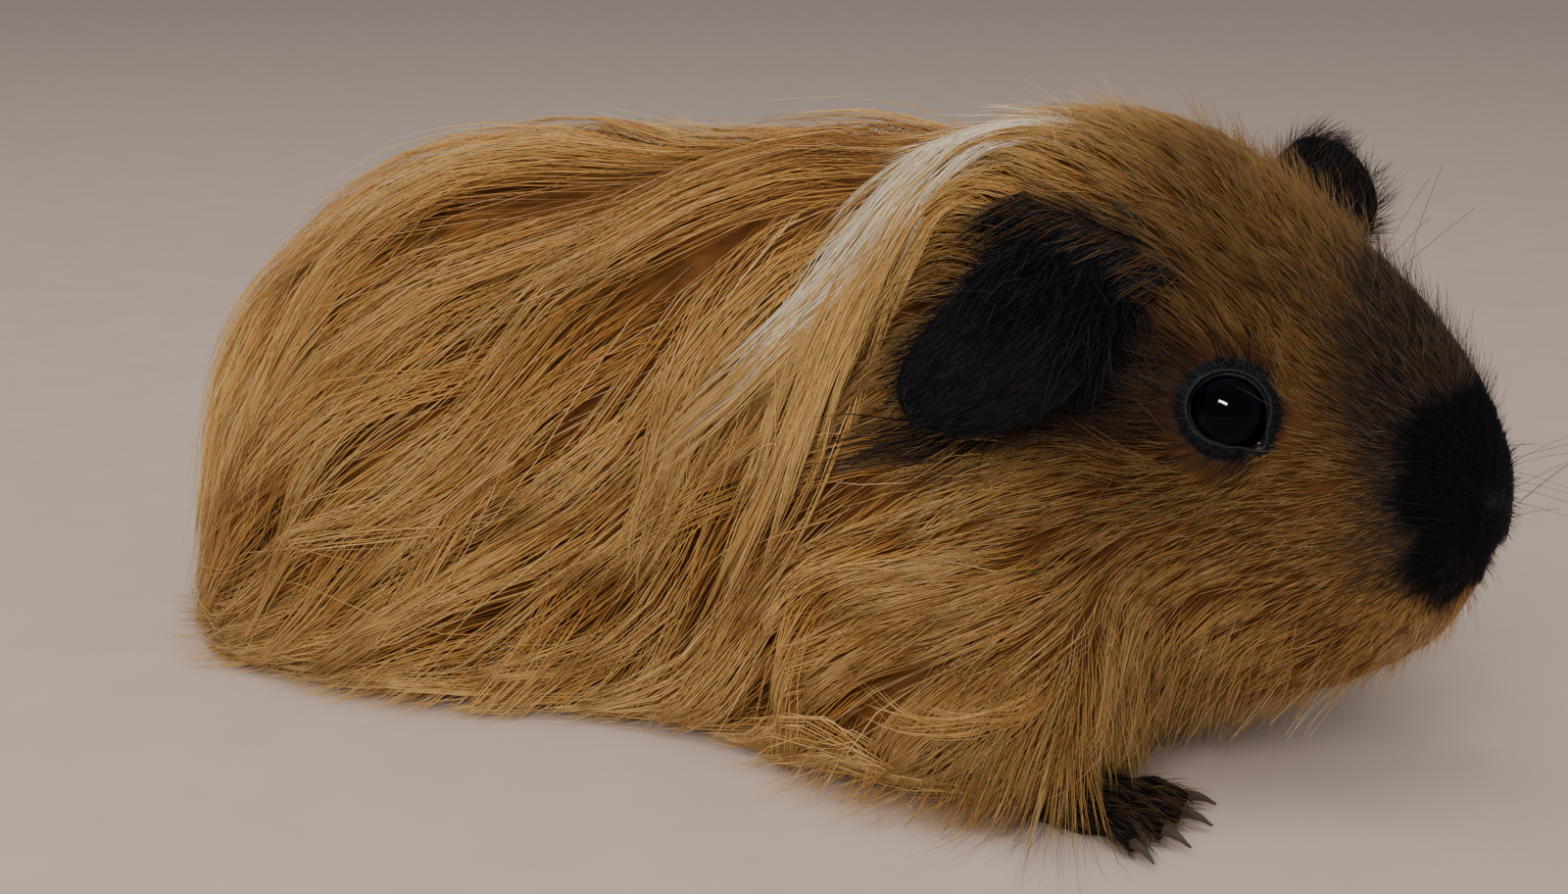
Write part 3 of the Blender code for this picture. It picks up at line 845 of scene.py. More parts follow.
def markings(points):
    """Shares of black, white and reddish brown in the coat and skin, from 0 to 1, one row a point, some of it
    painted shade.
    """
    spots = to_head(points)
    right = spots[:, 1] <= 0
    spots[:, 1] = np.abs(spots[:, 1])
    ragged = 1.6 * drift(points, 5.0, 7.7) + 0.9 * drift(points, 2.0, 1.1)
    ahead, _, height = spots.T
    off = off_eye(points)
    smoky_brow = 0.42 * smooth(ahead + ragged, 46, 66) * smooth(height, 60, 72)
    feet = smooth(points[:, 2], 12, 7) * foot_share(points)
    black = [share * blob(spots + ragged[:, None] * rag, centre, radii)
             for centre, radii, share, rag in BLACK_PATCHES_AND_EAR_SHADOW]
    lids = 0.75 * smooth(off, 7.5, 6.3)
    black = np.maximum.reduce([*black, nose_black(spots, ragged), smoky_brow, lids, feet])
    white = streak_white(points, ragged) * right
    white = np.maximum(white, 0.08 * blob(spots, (75, 5, 26), (6, 9, 4)))
    # The face is painted sable: partly its own darker brown coat, partly painted shade on the side of the
    # face, which gets less light.
    face = 0.74 * smooth(ahead, 14, 46) * (0.50 + 0.50 * smooth(height, 26, 52))
    face = face + 0.10 * drift(points, 12.0, 2.2)
    sable = [np.clip(patches(spots, SABLE_AND_EAR_SHADE_PATCHES), 0, 1), np.clip(face, 0, 1), 0.85 * smooth(off, 9.6, 7.4)]
    return np.stack([black, white, np.maximum.reduce(sable)], axis=1)


def foot_share(points):
    """1 on the feet, 0 elsewhere."""
    found = np.zeros(len(points))
    for node in FEET:
        low, high = (np.array(corner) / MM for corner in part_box(node))
        outside = np.linalg.norm(np.maximum(np.maximum(low - points, points - high), 0), axis=1)
        reach = 5.0 if node.startswith("fore") else 1.5
        found = np.maximum(found, smooth(outside, reach, 0.0) * smooth(points[:, 0], low[0] + 1, low[0] + 9))
    return found


BODY_AXIS_HEIGHT = 34.0
TUFT_PATCH = 0.003


def unwrapped(points):
    """The skin's own unwrap: across, round the body from the belly; up, from the rump to the nose."""
    low, high = (np.array(corner) / MM for corner in CAD_BOX)
    above = points[:, 2] - BODY_AXIS_HEIGHT
    round_it, reach = np.arctan2(points[:, 1], above), np.hypot(points[:, 1], above)
    ahead = (points[:, 0] - low[0]) / (high[0] - low[0])
    bulge = (reach - 44) / 260 * np.where(ahead > 0.5, -1, 1) * smooth(np.abs(ahead - 0.5), 0.25, 0.5)
    across = 0.5 + round_it / (2 * np.pi) * 0.97
    return np.stack([across, 0.06 + 0.88 * np.clip(ahead + bulge, -0.05, 1.05)], axis=1)


def add_attribute(mesh, name, values):
    """Three numbers at each point of a mesh."""
    rows = np.ones((len(values), 4), np.float32)
    rows[:, :3] = values
    mesh.attributes.new(name, "FLOAT_COLOR", "POINT").data.foreach_set("color", rows.ravel())


def marks_of(black, sable, white=0.0):
    """Rows of the markings, where they aren't those of the place: black is given for each tuft."""
    return np.stack(np.broadcast_arrays(black, white, sable), axis=1)


def coat_piece(name, slot, finish, roots, paths, width, tones, marks=None):
    """One piece of coat from tuft paths, with its markings, its tones and its bake map."""
    points, triangles, along, corner, size = strand_shells(paths, width)
    points[:, 2] = np.maximum(points[:, 2], TUFT_OFF_FLOOR)
    mesh = new_mesh(name, points, triangles)
    marks = markings(roots) if marks is None else marks
    add_attribute(mesh, "marking", np.repeat(marks, size, axis=0))
    add_attribute(mesh, "tuft", np.column_stack([along, np.repeat(tones, size, axis=0)]))
    spot = np.repeat(unwrapped(roots), size, axis=0)
    spot = spot + TUFT_PATCH * (np.column_stack([corner, along]) - 0.5)
    uv = mesh.uv_layers.new(name="OFBake")
    uv.uv.foreach_set("vector", spot[triangles.ravel()].astype(np.float32).ravel())
    return finished(new_object(name, mesh), slot, finish)


def finished(obj, slot, finish, *replaced):
    obj.data.materials.clear()
    obj.data.materials.append(finish)
    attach(obj, "root")
    if replaced:
        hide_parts(*replaced)
    return obj


# ---------------------------------------------------------------- finishes

NOISE_ROUGHNESS = 0.55


class Wire:
    """A node's output that sums can be written with."""

    def __init__(self, maker, socket):
        self.maker = maker
        self.socket = socket

    def math(self, operation, first, second):
        return self.maker.add("ShaderNodeMath", {"operation": operation}, {0: first, 1: second})

    def __add__(self, other):
        return self.math("ADD", self, other)

    def __sub__(self, other):
        return self.math("SUBTRACT", self, other)

    def __rsub__(self, other):
        return self.math("SUBTRACT", other, self)

    def __mul__(self, other):
        return self.math("MULTIPLY", self, other)

    def __pow__(self, other):
        return self.math("POWER", self, other)

    __radd__ = __add__
    __rmul__ = __mul__


class NodeMaker:
    """Makes the nodes of one tree."""

    def __init__(self, tree):
        self.nodes = tree.nodes
        self.links = tree.links

    def add(self, kind, settings=None, inputs=None, output=0):
        """A node with its settings, then its inputs as values or wires. Gives the wire of one output."""
        node = self.nodes.new(kind)
        for key, value in (settings or {}).items():
            if key == "stops":
                self.set_stops(node.color_ramp, value)
            else:
                setattr(node, key, value)
        for key, value in (inputs or {}).items():
            self.feed(node.inputs[key], value)
        return None if output is None else Wire(self, node.outputs[output])

    def feed(self, socket, value):
        if isinstance(value, Wire):
            self.links.new(value.socket, socket)
        elif isinstance(value, tuple) and len(value) == 3 and socket.type == "RGBA":
            socket.default_value = (*value, 1)
        else:
            socket.default_value = value

    @staticmethod
    def set_stops(ramp, stops):
        while len(ramp.elements) < len(stops):
            ramp.elements.new(0.5)
        for element, (place, colour) in zip(ramp.elements, stops):
            element.position = place
            element.color = (*colour, 1)


class Finish(NodeMaker):
    """One material: a Principled shader and the nodes that feed it."""

    def __init__(self, name, **constants):
        self.material = bpy.data.materials.new(name)
        self.material.use_nodes = True
        super().__init__(self.material.node_tree)
        self.shader = self.nodes["Principled BSDF"]
        self.to_shader(**constants)

    def to_shader(self, **wires):
        for socket, value in wires.items():
            self.feed(self.shader.inputs[socket.replace("_", " ")], value)
        return self.material

    def mix(self, share, one, two, blend="MIX"):
        settings = {"data_type": "RGBA", "blend_type": blend, "clamp_factor": True}
        return self.add("ShaderNodeMix", settings, {0: share, 6: one, 7: two}, 2)

    def place(self):
        return self.add("ShaderNodeTexCoord", None, None, "Object")

    def noise(self, scale, detail=3.0, spot=None):
        inputs = {"Vector": spot or self.place(), "Scale": scale, "Detail": detail,
                  "Roughness": NOISE_ROUGHNESS}
        return self.add("ShaderNodeTexNoise", None, inputs)

    def stretched(self, size):
        return self.add("ShaderNodeMapping", None, {"Vector": self.place(), "Scale": size})

    def parts(self, attribute):
        """The three numbers of a stored attribute."""
        colour = self.add("ShaderNodeAttribute", {"attribute_name": attribute}, None, "Color")
        return [self.add("ShaderNodeSeparateColor", None, {0: colour}, i) for i in range(3)]

    def ramp(self, share, stops):
        return self.add("ShaderNodeValToRGB", {"stops": stops}, {0: share})

    def step(self, value, start, end):
        """0 before start, 1 after end."""
        settings = {"interpolation_type": "SMOOTHSTEP"}
        return self.add("ShaderNodeMapRange", settings, {"Value": value, "From Min": start, "From Max": end})

    def bump(self, height, distance, strength):
        inputs = {"Height": height, "Distance": distance, "Strength": strength}
        return self.add("ShaderNodeBump", None, inputs)


GINGER_ROOT = (0.19, 0.080, 0.022)
GINGER = (0.47, 0.225, 0.055)
GOLD = (0.67, 0.425, 0.150)
SUN_BLEACHED = (0.88, 0.69, 0.38)
DEEP_GINGER = (0.23, 0.088, 0.020)
SABLE = (0.050, 0.020, 0.009)
SMOKE = (0.060, 0.042, 0.030)
# Smoky grey for the ear's fuzz, tinted blue as a painted sky sheen.
SMOKE_WITH_PAINTED_SHEEN = (0.030, 0.034, 0.042)
SOOT = (0.0044, 0.0041, 0.0060)
CREAM = (0.86, 0.80, 0.66)
# Painted shade: the skin shows only in the gaps between locks, so its colour is darkened as if shaded there.
UNDERCOAT_PAINTED_SHADE = (0.50, 0.43, 0.39)
# Noise scales, in swells to the metre: patches of the coat, fine fur on the skin, and pores.
PATCH_SCALE = 38.0
FUR_GRAIN_SCALE = 900.0
PORE_SCALE = 2600.0


def coat_colour(finish, along, lock, own, smoke=SMOKE):
    """The coat's colour: darker at the root, gold at the tip, each lock and tuft a little different; the lock
    tone also carries painted light and shade.
    """
    black, white, sable = finish.parts("marking")
    patch = finish.noise(PATCH_SCALE, 2.0)
    length_tone = along + (patch - 0.5) * 0.4 + (lock - 0.5) * 0.6
    ginger = finish.ramp(length_tone, [(0.0, GINGER_ROOT), (0.28, GINGER), (0.9, GOLD), (1.0, GOLD)])
    ginger = finish.mix(finish.step(own, 0.82, 1.0) * 0.5, ginger, SUN_BLEACHED)
    ginger = finish.mix(finish.step(own, 0.25, 0.0) * 0.28, ginger, DEEP_GINGER)
    ginger = finish.mix(finish.step(lock, 0.40, 0.05) * 0.6, ginger, DEEP_GINGER)
    coat = finish.mix(sable, ginger, SABLE)
    coat = finish.mix(white, coat, CREAM)
    dark = black + (own - 0.5) * 1.5 * black * (1.25 - black)
    coat = finish.mix(finish.step(dark, 0.06, 0.52), coat, smoke)
    return finish.mix(finish.step(dark, 0.40, 0.90), coat, SOOT), black


def coat_finish(name, roughness=0.46, specular=0.25, smoke=SMOKE):
    """One finish for tufts, coloured by the markings and tones stored on them."""
    finish = Finish(name, Specular_IOR_Level=specular)
    along, lock, own = finish.parts("tuft")
    colour, black = coat_colour(finish, along, lock, own, smoke)
    rough = roughness + 0.12 * own + 0.1 * black
    return finish.to_shader(Base_Color=colour, Roughness=rough)


def skin_finish():
    """Under the coat: the same markings, darkened as painted shade between the locks, with fine short fur
    lying over it as relief.
    """
    finish = Finish("skin_under_fur", Specular_IOR_Level=0.25)
    grain = finish.noise(FUR_GRAIN_SCALE, 4.0, finish.stretched((0.35, 1.0, 1.0)))
    colour, _ = coat_colour(finish, 0.16 * grain, finish.noise(120.0, 2.0), finish.noise(700.0, 3.0))
    # Painted shade: the skin's colour is darkened where it shows between the locks.
    colour = finish.mix(1.0, colour, UNDERCOAT_PAINTED_SHADE, "MULTIPLY")
    pores = finish.noise(PORE_SCALE, 2.0)
    normal = finish.bump(grain + 0.4 * pores, 0.0004, 0.8)
    return finish.to_shader(Base_Color=colour, Roughness=0.62 + 0.2 * pores, Normal=normal)


# ---------------------------------------------------------------- the skin

PETALS = {node: Petal(node) for node in EARS}
body = body_shell()
FOOT_SHELLS = {node: foot_shell(node) for node in FEET}
skin_mesh = joined("skin", [facing_out(body)] + [facing_out(FOOT_SHELLS[node]) for node in FEET]
                   + [facing_out(PETALS[node].shell()) for node in EARS])
skin = new_object("skin", skin_mesh)
skin_marks = markings(points_of(skin_mesh))
ear_points = len(skin_mesh.vertices) - 2 * (EAR_SIDES * EAR_ROWS + 2)
skin_marks[ear_points:, 0] = 1
add_attribute(skin_mesh, "marking", skin_marks)
finished(skin, "coat_face", skin_finish(), *FLESH, *FEET, *EARS)


# ---------------------------------------------------------------- the coat

rng = np.random.default_rng(2024)
COAT = coat_finish("ginger_coat")
# The ear's smoke colour carries a painted bluish sheen.
EAR_COAT = coat_finish("ear_fuzz", 0.6, 0.14, SMOKE_WITH_PAINTED_SHEEN)
SKIN_POINTS, SKIN_TRIANGLES = body
TUFTS_IN_WISP = 6
WISP_HOLD = 0.35
# Where the coat is paler or deeper than elsewhere, ahead of the rump, aside and up: middle, reach, by how
# much. Partly the coat's own tone and partly painted light and shade: paler on the shaded elbow and crown
# as painted light, deeper on the brightly lit top of the back as painted shade.
TONE_AND_LIGHT_PATCHES = (
    ((192, 35, 26), (13, 11, 9), 0.22),
    ((166, 56, 11), (14, 11, 8), 0.15),
    ((172, 14, 88), (17, 15, 8), 0.12),
    ((72, 26, 81), (36, 17, 7), -0.16),
    ((92, 53, 18), (24, 11, 10), 0.05),
    ((215, 27, 26), (10, 12, 8), -0.15),
)


def patch_tone_and_light(points):
    """How much paler or deeper the coat is painted at these places, partly as painted light and shade."""
    return patches(np.column_stack([from_rump(points), np.abs(points[:, 1]), points[:, 2]]), TONE_AND_LIGHT_PATCHES)


def lock_tone(points):
    """Pale or deep locks, with neighbours somewhat alike."""
    return 0.5 + 0.3 * drift(points, 12.0, 5.5) + rng.normal(0, 0.18, len(points))


LOCK_SIZES = (0.82, 1.15)    # length of a lock and of a tuft in it, as shares of the coat's length there
TUFT_SIZES = (0.8, 1.08)
LOCK_TOPS = (-0.34, 0.04)    # level of a lock's tips, as a share of the coat's depth
WAVE = 2.1                   # how far a lock sways, as a share of the spread of their turns
STRAY_LEAN = (0.3, 1.7)      # how far the tips of stray tufts stand out


def gathered(roots, length, joints, per_lock, hold, spread, stray_share):
    """Tufts drawn together into locks, and those into wisps, that close in on their leaders towards the tips.

    hold is how far a lock's tips close in, spread how much the locks turn from how the coat lies.
    """
    count = len(roots)
    guides = roots[rng.choice(count, max(count // per_lock, 1), replace=False)]
    size = rng.uniform(*LOCK_SIZES, len(guides))
    turn = rng.normal(0, spread, len(guides))
    phase = rng.uniform(0, 2 * np.pi, len(guides))
    top = rng.uniform(*LOCK_TOPS, len(guides)) * coat_depth(guides) + face_relief(guides)
    leaders = grow(guides, coat_length(guides) * size, turn, top, joints, WAVE * spread, phase)
    owner, gap = nearest(roots + rng.normal(0, 0.4, roots.shape), guides)
    reach = np.minimum((gap / gap.mean()) ** 2, 2.4)
    stray = rng.random(count) < stray_share
    own_turn = turn[owner] + rng.normal(0, 0.03, count) + stray * rng.normal(0, 0.16, count)
    own_top = top[owner] - coat_depth(roots) * (0.12 * reach + 0.14 * rng.random(count) ** 2)
    own_top = own_top + face_relief(roots) - face_relief(guides)[owner]
    own_top = np.where(stray, rng.uniform(-0.2, 0.5, count) + face_relief(roots), own_top)
    lean = stray * rng.uniform(*STRAY_LEAN, count)
    own_length = length * size[owner] * rng.uniform(*TUFT_SIZES, count)
    own_phase = phase[owner] + rng.normal(0, 0.25, count)
    paths = grow(roots, own_length, own_turn, own_top, joints, WAVE * spread, own_phase, lean)
    share = np.linspace(0, 1, joints)[None, :, None]
    pull = (hold * rng.uniform(0.75, 1.05, count) * ~stray).clip(0, 0.93)[:, None, None] * share ** 1.1
    paths = leaders[owner] * pull + paths * (1 - pull)
    wisps = rng.choice(count, max(count // TUFTS_IN_WISP, 1), replace=False)
    wisp, _ = nearest(roots, roots[wisps])
    same = (owner[wisps][wisp] == owner) & ~stray
    pull = WISP_HOLD * same[:, None, None] * share ** 0.8
    paths = paths[wisps][wisp] * pull + paths * (1 - pull)
    paths = lifted(paths, own_top + lean, joints)
    # Tufts far from their lock's leader are painted deeper: painted shade in the gaps between locks.
    tone = 0.62 * lock_tone(guides)[owner] + 0.38 * rng.random(len(wisps))[wisp] - 0.07 * (reach - 1)
    # Low on the body the tone is painted paler: painted light where the coat lies in shade.
    tone = 0.5 + (tone - 0.5) * smooth(length, -10, 34) + 0.14 * smooth(roots[:, 2], 36, 14)
    tone = tone + patch_tone_and_light(roots)
    return paths, np.column_stack([np.clip(tone, 0, 1), rng.random(count)])


def lifted(paths, top, joints):
    """Keeps paths between the skin and their own top level after they are drawn together."""
    flat = paths.reshape(-1, 3)
    gap, outward = coat_room.read(flat)
    high = np.repeat(top + 0.4, joints)
    low = -coat_depth(flat) - 2.0
    free = smooth(flat[:, 2], 2.0, 5.0)
    shift = np.clip(gap, low, high) - gap
    shift[::joints] = 0
    return (flat + outward * (shift * free)[:, None]).reshape(paths.shape)


# Where the cheeks' coat and the arms' part; more tufts are set here.
ARM_TOP = (60.0 + RUMP_X + 114.0, 49.5, 32.0)


def coat_density(least, most):
    """How many roots to the square millimetre, where the coat's length lies between these."""

    def density(points):
        length = coat_length(points)
        thick = by_table(length, TUFT_LAYERS) / (length * by_table(length, TUFT_WIDTHS))
        off_arm = np.linalg.norm(points * [1, 0, 1] + np.abs(points) * [0, 1, 0] - ARM_TOP, axis=-1)
        thick = thick * (1 + 1.8 * smooth(off_arm, 12, 5))
        return thick * bare(points) * (length >= least) * (length < most)

    return density


def sown(density):
    """Random roots on the body's skin."""
    return roots_on(SKIN_POINTS, SKIN_TRIANGLES, density, rng)


def lay_coat(names, slot, least, most, joints, per_lock, hold, spread, stray):
    """The coat whose length lies between these, in locks of so many tufts."""
    roots = sown(coat_density(least, most))
    length = coat_length(roots)
    paths, tones = gathered(roots, length, joints, per_lock, hold, spread, stray)
    width = by_table(length, TUFT_WIDTHS) * rng.uniform(0.7, 1.25, len(roots))
    clear = np.flatnonzero(off_eye(paths).min(axis=1) > EYE_RADIUS)
    along_body = clear[np.argsort(roots[clear, 0])]
    for name, chosen in zip(names, np.array_split(along_body, len(names))):
        coat_piece(name, slot, COAT, roots[chosen], paths[chosen], width[chosen], tones[chosen])


lay_coat(("coat_rump", "coat_loin", "coat_flanks", "coat_ribs", "coat_shoulders"), "coat_ginger",
         least=26, most=999, joints=6, per_lock=40, hold=0.76, spread=0.125, stray=0.06)
lay_coat(("coat_neck", "coat_cheeks"), "coat_ginger",
         least=8.5, most=26, joints=4, per_lock=18, hold=0.45, spread=0.11, stray=0.06)
lay_coat(("coat_brow", "coat_muzzle"), "coat_face",
         least=0, most=8.5, joints=3, per_lock=8, hold=0.2, spread=0.09, stray=0.10)


# Locks that lie over the rest, each led along its own line, from ahead to behind: the white streak; the
# shoulder's, the ribs', the rump's and the haunch's; the one that crosses the elbow; and the shoulder's on
# the left. A row is the line (distance ahead of the rump, y and z), then how many wisps, tufts in each, the
# share of the line where wisps start, their length, half width of the lock at its start and end, height over
# the outline, share of white wisps at the start and end, and tone.
NO_WHITE = (0.0, 0.0)
LED_LOCKS = (
    (((166, -8, 90.5), (160, -10, 90), (154, -14, 88.8), (149.5, -20, 86), (146.3, -27, 81),
      (144.3, -35, 73.5), (141.5, -41, 67), (136, -45, 60), (127, -48, 51), (117, -48, 42)),
     112, 7, 0.55, (26, 52), 5.4, 1.5, 0.7, (0.82, 0.22), 0.85),
    (((158, -19, 87), (152, -25, 83), (148, -30, 79.5), (145.5, -38.1, 71), (143.4, -46, 58.2),
      (140.7, -50, 45), (135, -51, 32), (128, -52, 20)),
     66, 8, 0.5, (30, 54), 3.6, 4.2, 1.0, NO_WHITE, 0.72),
    (((134, -42, 69), (126, -46, 58), (120, -48, 46), (116, -50, 34), (114, -51, 24)),
     14, 6, 0.45, (24, 40), 1.5, 2.0, 0.8, NO_WHITE, 0.8),
    (((12, -36, 17), (6, -35, 11), (0, -33, 7.5), (-5, -30, 6), (-10, -27, 5.5)),
     6, 7, 0.35, (15, 22), 1.6, 0.9, 0.6, NO_WHITE, 0.35),
    (((46, -46, 16), (36, -47, 8), (25, -46, 3), (14, -42, 1.4), (5, -37, 0.9)),
     10, 7, 0.5, (14, 26), 2.6, 2.4, 0.4, NO_WHITE, 0.6),
    (((182, -48, 22), (177, -54, 18.5), (170, -57, 16), (162, -58, 15.5), (153, -58, 17)),
     9, 7, 0.35, (17, 28), 1.3, 0.8, 0.6, NO_WHITE, 0.62),
    (((158, 21, 87), (151, 30, 80), (146, 40, 68), (142, 47, 54), (136, 50, 40), (128, 51, 27)),
     44, 8, 0.5, (32, 52), 3.4, 3.0, 0.7, NO_WHITE, 0.7),
)
LED_JOINTS = 8
LED_WANDER = 2.2    # how far the tips of wisps part, in millimetres
LED_SWAY = 0.8
LINE_STEPS = 90
LINE_ROUNDING = 6


def along_line(line, at):
    """Places this share of the way along a rounded line, and straight on beyond its end; and its length."""
    dense = np.linspace(0, len(line) - 1, LINE_STEPS)
    line = np.stack([np.interp(dense, np.arange(len(line)), line[:, i]) for i in range(3)], axis=1)
    for _ in range(LINE_ROUNDING):
        line[1:-1] = (line[:-2] + 2 * line[1:-1] + line[2:]) / 4
    reach = np.concatenate([[0], np.cumsum(np.linalg.norm(np.diff(line, axis=0), axis=1))])
    at = at * reach[-1]
    spots = np.stack([np.interp(at, reach, line[:, i]) for i in range(3)], axis=-1)
    return spots + unit(line[-1] - line[-8]) * np.maximum(at - reach[-1], 0)[..., None], reach[-1]


def led_lock(line, wisps, tufts, start, lengths, wide, narrow, top, white, tone):
    """Roots, paths, widths, tones and markings of one led lock: wisps that run along a line to their tips."""
    line = np.array(line, float) + [RUMP_X, 0, 0]
    reach = along_line(line, np.zeros(1))[1]
    count = wisps * tufts
    wisp = np.repeat(np.arange(wisps), tufts)
    own = np.linspace(0, 1, LED_JOINTS)
    set_out = rng.random(wisps) ** 1.2 * start
    first = np.maximum(set_out[wisp] + rng.normal(0, 1.2, count) / reach, 0)
    length = rng.uniform(*lengths, wisps)[wisp] * rng.uniform(0.8, 1.05, count)
    share = first[:, None] + length[:, None] / reach * own
    spots = along_line(line, share)[0]
    outward = coat_room.read(spots.reshape(-1, 3))[1]
    onward = unit(np.gradient(spots, axis=1))
    aside = unit(np.cross(onward, outward.reshape(spots.shape)))
    centre = rng.normal(0, 0.75, wisps).clip(-1.3, 1.3)[wisp]
    phase = rng.uniform(0, 2 * np.pi, wisps)[wisp]
    wander = rng.normal(0, LED_WANDER, wisps).clip(-3, 3)[wisp]
    apart = rng.normal(0, 0.5, count)
    off = (centre[:, None] * (wide + (narrow - wide) * np.minimum(share, 1))
           + LED_SWAY * np.sin(phase[:, None] + 5 * share)
           + wander[:, None] * own ** 2 + apart[:, None] * (1 - 0.75 * own))
    spots = spots + aside * off[..., None]
    climb = 1 - np.exp(-own * length[:, None] / 7.0)
    low = rng.random(wisps)[wisp] + 0.5 * rng.random(count)
    crest = top - 0.12 * off ** 2 / wide - low[:, None]
    level = -coat_depth(spots) * (1 - climb) + crest * climb - 0.8 * own ** 3
    spots = coat_room.settle(spots.reshape(-1, 3), level.ravel(), 2).reshape(spots.shape)
    spots[..., 2] = np.maximum(spots[..., 2], 0.5)
    marks = np.zeros((count, 3))
    pale = np.interp(set_out / start, (0, 1), white)
    marks[:, 1] = (rng.random(wisps) < pale)[wisp] * rng.uniform(0.3, 1.0, count)
    tones = np.column_stack([np.clip(tone + rng.normal(0, 0.16, wisps)[wisp], 0, 1), rng.random(count)])
    return spots[:, 0], spots, rng.uniform(0.10, 0.18, count), tones, marks


led = [np.concatenate(column) for column in zip(*(led_lock(*row) for row in LED_LOCKS))]
coat_piece("coat_streak_and_locks", "coat_ginger", COAT, *led)


# ---------------------------------------------------------------- hair of the ears, feet, edges and face

def free_tufts(roots, ways, outward, length, lift, droop, joints):
    """Tufts that stand free: they set out along their ways, rise a little and bend down."""
    length, lift = (np.broadcast_to(value, len(roots))[:, None, None] for value in (length, lift))
    share = np.linspace(0, 1, joints)[None, :, None] * length
    rise = lift * outward[:, None] * share * (1 - 0.35 * share / length)
    fall = droop * share ** 2 * -UP
    paths = roots[:, None] + ways[:, None] * share + rise + fall
    paths[..., 2] = np.maximum(paths[..., 2], TIP_OFF_FLOOR)
    return paths


def plain_tones(count, tone=0.5):
    """The same lock tone for every tuft, and a tone of its own for each."""
    return np.column_stack([np.full(count, tone), rng.random(count)])


def petal_spots(petal, across, down, face):
    """Place, outward direction and way to the tip on one face of an ear."""
    outward = petal.outward_at(across, down) * face[:, None]
    edge = np.sqrt(np.maximum(1 - across ** 2, 0)) ** EAR_RIM_ROUND
    spots = petal.middle(across, down) + outward * (edge * petal.thickness(down) / 2 - 0.12)[:, None]
    ways = unit(petal.middle(across, np.minimum(down + 0.03, 1.0)) - petal.middle(across, down - 0.001))
    return spots, outward, ways


# Tufts in each group, how far they reach, and how black they are, on the unseen ear and on the one in view.
# The unseen ear is shaggier and browner.
EAR_COUNTS = {"ear_left": (2200, 1100, 500), "ear_right": (4200, 900, 500)}
EAR_FRINGE = {"ear_left": (4.0, 8.0), "ear_right": (5.0, 11.0)}
EAR_RIM = {"ear_left": (2.6, 6.5), "ear_right": (1.8, 6.5)}
EAR_BLACK = {"fuzz": (0.45, 1.0), "fringe": (0.6, 1.0)}
FAR_EAR_BLACK = (0.10, 0.95)


def ear_coat(node):
    """An ear's short fuzz, the fringe over its upper part, and the hairs of its rim."""
    petal = PETALS[node]
    shaggy = petal.side > 0
    groups = []
    for count, kind in zip(EAR_COUNTS[node], ("fuzz", "fringe", "rim")):
        face = np.where(rng.random(count) < (0.35 if shaggy else 0.62), 1.0, -1.0)
        across = rng.uniform(-0.97, 0.97, count)
        down = rng.uniform(0.02, 0.985, count)
        length, lift, droop, joints = rng.uniform(1.4, 3.0, count), 0.34, 0.0, 3
        if shaggy:
            length, lift = length * 1.7, 0.6
        if kind == "fringe":
            down = rng.random(count) ** 1.6 * 0.42
            across = 1 - 2 * rng.random(count) ** 1.3
            length, lift, droop, joints = rng.uniform(*EAR_FRINGE[node], count), 0.30, 0.012, 5
            if shaggy:
                down *= 2.2
                lift = 0.5
            else:
                face[:] = 1
        if kind == "rim":
            across = np.sign(rng.uniform(-1, 1, count)) * rng.uniform(0.93, 0.995, count)
            length, lift = rng.uniform(*EAR_RIM[node], count), 0.1
        spots, outward, ways = petal_spots(petal, across, down, face)
        ways = turned(ways, outward, rng.normal(0, 0.3, count))
        if kind == "rim":
            edge = unit(petal.middle(across * 1.02, down) - petal.middle(across * 0.98, down))
            ways = unit(ways + edge * 0.8)
        paths = free_tufts(spots, ways, outward, length, lift * rng.uniform(0.5, 1.5, count), droop, joints)
        # The fuzz in the ear's middle is painted less black: a painted sheen.
        pale = 0.10 * np.exp(-((across / 0.5) ** 2) - ((down - 0.55) / 0.2) ** 2)
        width = rng.uniform(*((0.06, 0.10) if joints == 3 else (0.08, 0.14)), count)
        groups.append((kind, pale, spots, paths, width))
    for kind, pale, spots, paths, width in groups:
        count = len(spots)
        black = rng.uniform(0.78, 1.0, count)
        if shaggy:
            black = rng.uniform(*FAR_EAR_BLACK, count)
        elif kind in EAR_BLACK:
            black = rng.uniform(*EAR_BLACK[kind], count) - pale * (kind == "fuzz")
        tones = plain_tones(count)
        coat_piece(f"{node}_{kind}", "ear_black", EAR_COAT, spots, paths, width, tones, marks_of(black, 0.95))


FOOT_DENSITY = 1.9   # tufts to the square millimetre, off the sole


def foot_coat():
    """Short dark fur on the feet."""
    roots, paths, width = [], [], []
    for node in FEET:
        points, triangles = facing_out(FOOT_SHELLS[node])
        low, high = points.min(axis=0), points.max(axis=0)
        onward = unit(high - low) * [1, 0, 0]
        spots = roots_on(points, triangles, lambda spots: FOOT_DENSITY * smooth(spots[:, 2], 0.7, 1.8), rng)
        count = len(spots)
        tree = BVHTree.FromPolygons(points.tolist(), triangles.tolist())
        outward = np.array([tree.find_nearest(spot)[1] for spot in spots.tolist()])
        ways = along_surface(onward + np.array([0, 0, -0.12]) + rng.normal(0, 0.12, spots.shape), outward)
        ahead = (spots[:, 0] - low[0]) / (high[0] - low[0])
        length = rng.uniform(3.0, 6.5, count) * (1 - 0.3 * ahead)
        paths.append(free_tufts(spots, ways, outward, length, rng.uniform(0.1, 0.5, count), 0.03, 3))
        roots.append(spots)
        width.append(rng.uniform(0.09, 0.15, count))
    roots, paths, width = (np.concatenate(column) for column in (roots, paths, width))
    marks = marks_of(rng.uniform(0.15, 0.5, len(roots)), 0.8)
    coat_piece("coat_feet", "coat_black", COAT, roots, paths, width, plain_tones(len(roots)), marks)


